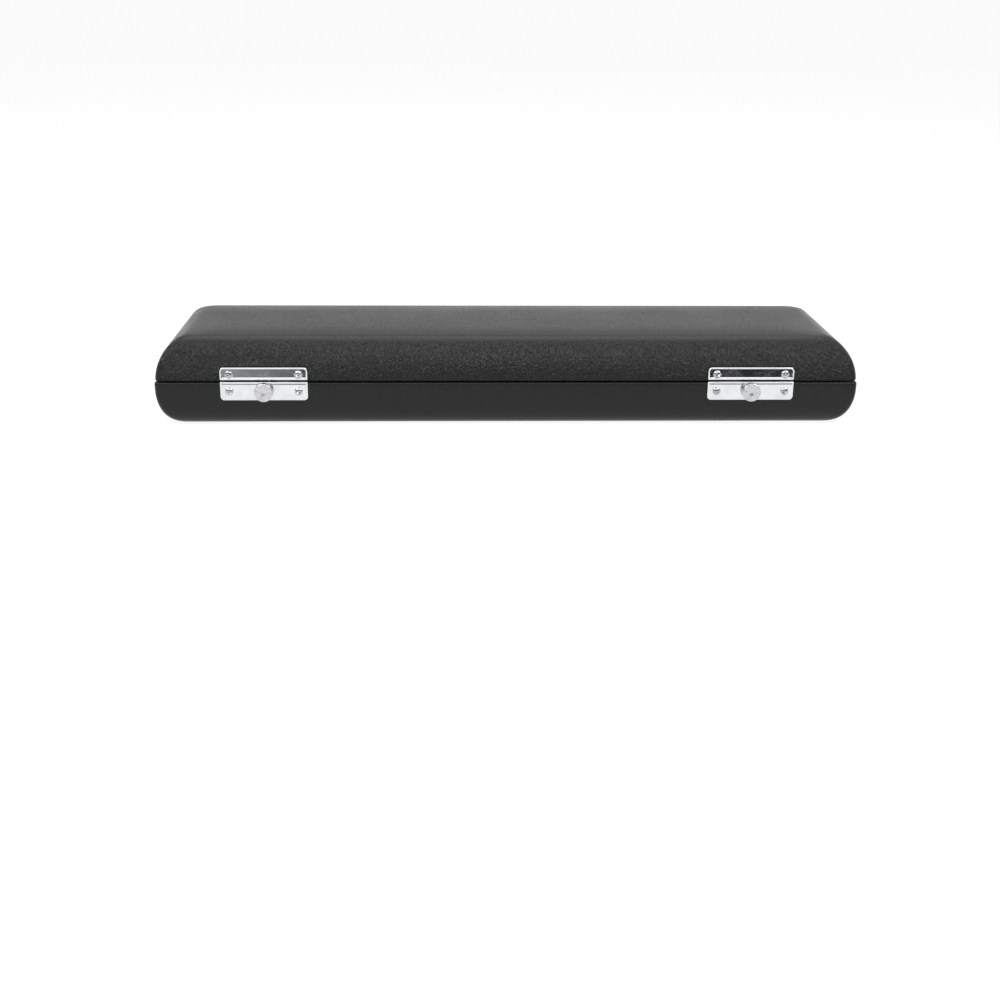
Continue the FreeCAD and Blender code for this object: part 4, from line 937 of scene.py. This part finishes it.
screwForm = {
    "shank": 1.0, "frontHead": 1.3, "backHead": 0.8, "sideShare": 0.24,
    # the cross recess of a front screw, whose head has this radius
    "headRadius": 2.25, "recessLength": 1.4, "recessWidth": 0.36, "recessDepth": 0.85,
    # how far each screw of a pair was turned, in degrees
    "turns": {"left_latch_screws": (24, 58), "left_strike_screws": (12, 40), "right_latch_screws": (66, 31),
              "right_strike_screws": (47, 8), "left_hinge_base_screws": (18, 71), "left_hinge_lid_screws": (50, 5),
              "right_hinge_base_screws": (33, 80), "right_hinge_lid_screws": (62, 27)},
}


def makeScrews(node, body):
    form = screwForm
    low, high = millimetreBox(node)
    middleZ = (low.z + high.z) / 2
    radius = (high.z - low.z) / 2
    front = low.y < 0
    headTop, tip, inward = (low.y, high.y, 1) if front else (high.y, low.y, -1)
    headHeight = form["frontHead"] if front else form["backHead"]
    face = headTop + inward * headHeight
    side = headHeight * form["sideShare"]
    profile = [(0.0, tip), (0.35, tip - inward * 0.1), (form["shank"], tip - inward * 1.1), (form["shank"], face),
               (radius - 0.06, face), (radius, face - inward * 0.06), (radius, face - inward * side)]
    profile += [(radius * (1 - across) ** 0.9, face - inward * (side + (headHeight - side) * up))
                for across, up in quarterTurn(9, 1)]
    deep = form["recessDepth"] * headHeight / form["frontHead"]
    screws, recesses = [], []
    for middleX, turned in zip((low.x + radius, high.x - radius), form["turns"][node]):
        screws.append(turnOnLathe(profile, middleX, middleZ, 40))
        across, up = math.cos(math.radians(turned)), math.sin(math.radians(turned))
        rings = []
        for depth, scale in ((-0.2, 1.06), (0.0, 1.0), (deep, 0.42)):
            long = form["recessLength"] * scale * radius / form["headRadius"]
            wide = form["recessWidth"] * (0.5 + 0.5 * scale)
            arm, cross = [(wide, wide), (wide, long), (-wide, long)], []
            for quarter in range(4):
                cross += arm
                arm = [(-z, x) for x, z in arm]
            rings.append([(middleX + x * across - z * up, headTop + inward * depth, middleZ + x * up + z * across)
                          for x, z in cross])
        recesses.append(loft(rings))
    words = node.split("_")
    name = words[0] + "".join(word.capitalize() for word in words[1:])
    cutAway(makePiece(name, joinShapes(screws), body, brightScrew, node, 40.0), recesses, 40.0)


springForm = {"wire": 0.2, "turns": 8, "stepsPerTurn": 18, "wireSides": 8, "stroke": 3.0}


def makeSpring(side):
    # a coil of wire that runs the length of the spring's box
    form = springForm
    low, high = millimetreBox(side + "_latch_spring")
    wire, steps = form["wire"], form["turns"] * form["stepsPerTurn"]
    coil = (high.z - low.z) / 2 - wire
    middleY, middleZ = (low.y + high.y) / 2, (low.z + high.z) / 2
    rings = []
    for step in range(steps + 1):
        turn = 2 * math.pi * step / form["stepsPerTurn"]
        along = low.x + wire + (high.x - low.x - 2 * wire) * step / steps
        rings.append([(along + wire * up, middleY + (coil + wire * out) * math.cos(turn),
                       middleZ + (coil + wire * out) * math.sin(turn)) for out, up in circle(form["wireSides"])])
    spring = makePiece(side + "LatchSpring", loft(rings), "base", zincSteel, side + "_latch_spring", 60.0)
    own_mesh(spring)


def makeLatches():
    for side in sides:
        makeSpring(side)
        makeLatchPlate(side)
        makeStrikePlate(side)
        makeKnob(side)
        for node, body in (("_latch_screws", "base"), ("_strike_screws", "lid"), ("_hinge_base_screws", "base"),
                           ("_hinge_lid_screws", "lid")):
            makeScrews(side + node, body)


makeLatches()
print("latches and screws are made")


# Finishes of the rigid parts

nodeFinishes = {
    shellBoard: ("base_shell", "lid_shell"),
    polishedPlate: [side + part for side in sides
                    for part in ("_catch_plate", "_hinge_base_leaf", "_hinge_lid_leaf")],
    zincSteel: [side + part for side in sides
                for part in ("_latch_back_plate", "_hinge_pin", "_latch_slide")],
}


def finishNodes():
    for finish, nodes in nodeFinishes.items():
        for node in nodes:
            cadNodes[node].data.materials.clear()
            cadNodes[node].data.materials.append(finish)


finishNodes()
print("metal and board have their finishes")


# Studio: floor, sky, lights and camera

studio = {
    "floorHalf": 4000.0, "floorLevel": -0.05, "floorColour": (0.14, 0.14, 0.14), "floorGlow": 0.88,
    "skyLow": 0.96, "skyHigh": 0.42, "skyHeights": (0.05, 0.32),  # glow near the ground and overhead
    # the card is a painted reflection, seen only by glossy rays; its glow runs from lightSide to darkSide
    "card": {"away": -400.0, "lean": 50.0, "halfLength": 700.0, "low": 1.0, "high": 100.0, "lightSide": 0.34,
             "darkSide": 0.015},
    "topLight": {"place": (0.0, 0.45, 1.3), "aim": (0.0, 0.45, 0.0), "size": (1.6, 2.5), "power": 15.0},
    "frontLight": {"place": (0.0, -1.15, 0.75), "aim": (0.0, 0.0, 0.0), "size": (2.0, 0.9), "power": 7.0},
    "leftLight": {"place": (-0.9, -0.45, 0.95), "aim": (-0.1, 0.0, 0.0), "size": (0.7, 0.7), "power": 9.0},
    "rightLight": {"place": (0.9, -0.45, 0.95), "aim": (0.1, 0.0, 0.0), "size": (0.7, 0.7), "power": 9.0},
    "cameraPlace": (-34.2, -853.51, 237.99), "pitch": 0.3415, "yaw": 0.0375, "roll": 0.009,
    "lens": 51.965, "filmWidth": 36.0,
}


def makeFloor():
    half, level = studio["floorHalf"], studio["floorLevel"]
    corners = [(x * half, y * half, level) for x, y in ((-1, -1), (1, -1), (1, 1), (-1, 1))]
    floor = addMesh("paleFloor", (corners, [(0, 1, 2, 3)]))
    material, tree, shader, place = newMaterial(
        "palePaper", **{"Roughness": 0.85, "Specular IOR Level": 0.1, "Emission Color": (1.0, 1.0, 1.0),
                        "Emission Strength": studio["floorGlow"]})
    mottle = noiseAt(tree, place["Object"], 60.0, 3.0, 0.5)
    colour = studio["floorColour"]
    feed(tree, shader["Base Color"], blend(tree, mottle, colour, tuple(entry * 0.985 for entry in colour)))
    floor.data.materials.append(material)


def makeSky():
    world = bpy.data.worlds.new("studioSky")
    bpy.context.scene.world = world
    world.use_nodes = True
    tree = world.node_tree
    background = tree.nodes["Background"]
    direction = addNode(tree, "ShaderNodeTexCoord")
    height = splitVector(tree, direction.outputs["Generated"])[2]
    glow = remap(tree, height, *studio["skyHeights"], studio["skyLow"], studio["skyHigh"])
    feedNamed(tree, background, Color=(1.0, 1.0, 1.0), Strength=glow)


def makePaintedReflectionCard():
    # painted reflection: a sheet that glows dark, lighter at its left end, and that only glossy rays see; it stands in
    # for the unlit camera side of the studio, which only polished faces see
    form = studio["card"]
    half, low, high, away = form["halfLength"], form["low"], form["high"], form["away"]
    back = away - form["lean"]
    corners = [(-half, away, low), (half, away, low), (half, back, high), (-half, back, high)]
    card = addMesh("paintedReflectionCard", (corners, [(0, 1, 2, 3)]))
    material, tree, shader, place = newMaterial(
        "paintedReflectionSheet", **{"Roughness": 1.0, "Specular IOR Level": 0.0, "Base Color": (0.0, 0.0, 0.0),
                       "Emission Strength": 1.0})
    sideways = splitVector(tree, place["Object"])[0]
    # painted reflection: the card's glow, lighter towards the left
    shade = remap(tree, sideways, -0.25, -0.1, form["lightSide"], form["darkSide"], smooth=True)
    feed(tree, shader["Emission Color"], blend(tree, shade, (0.0, 0.0, 0.0), (1.0, 1.0, 1.0)))
    card.data.materials.append(material)
    for ray in ("camera", "diffuse", "shadow", "transmission", "volume_scatter"):
        setattr(card, "visible_" + ray, False)


def addSoftLight(name):
    form = studio[name]
    data = bpy.data.lights.new(name, "AREA")
    data.shape = "RECTANGLE"
    data.size, data.size_y = form["size"]
    data.energy = form["power"]
    light = addObject(name, data)
    light.location = form["place"]
    light.rotation_mode = "QUATERNION"
    light.rotation_quaternion = (Vector(form["aim"]) - Vector(form["place"])).to_track_quat("-Z", "Y")


def makeCamera():
    pitch, yaw, roll = studio["pitch"], studio["yaw"], studio["roll"]
    ahead = Vector((math.sin(yaw) * math.cos(pitch), math.cos(yaw) * math.cos(pitch), -math.sin(pitch)))
    right = Vector((math.cos(yaw), -math.sin(yaw), 0.0))
    up = right.cross(ahead)
    rolledRight = right * math.cos(roll) + up * math.sin(roll)
    rolledUp = up * math.cos(roll) - right * math.sin(roll)
    data = bpy.data.cameras.new("studioCamera")
    data.sensor_width = studio["filmWidth"]
    data.lens = studio["lens"]
    data.clip_start, data.clip_end = 0.01, 50.0
    camera = addObject("studioCamera", data)
    turn = Matrix((rolledRight, rolledUp, -ahead)).transposed().to_4x4()
    camera.matrix_world = Matrix.Translation(Vector(studio["cameraPlace"]) * millimetre) @ turn
    bpy.context.scene.camera = camera


makeFloor()
makeSky()
makePaintedReflectionCard()
for lightName in ("topLight", "frontLight", "leftLight", "rightLight"):
    addSoftLight(lightName)
makeCamera()
bpy.context.scene.view_settings.view_transform = "Standard"
print("studio is ready")
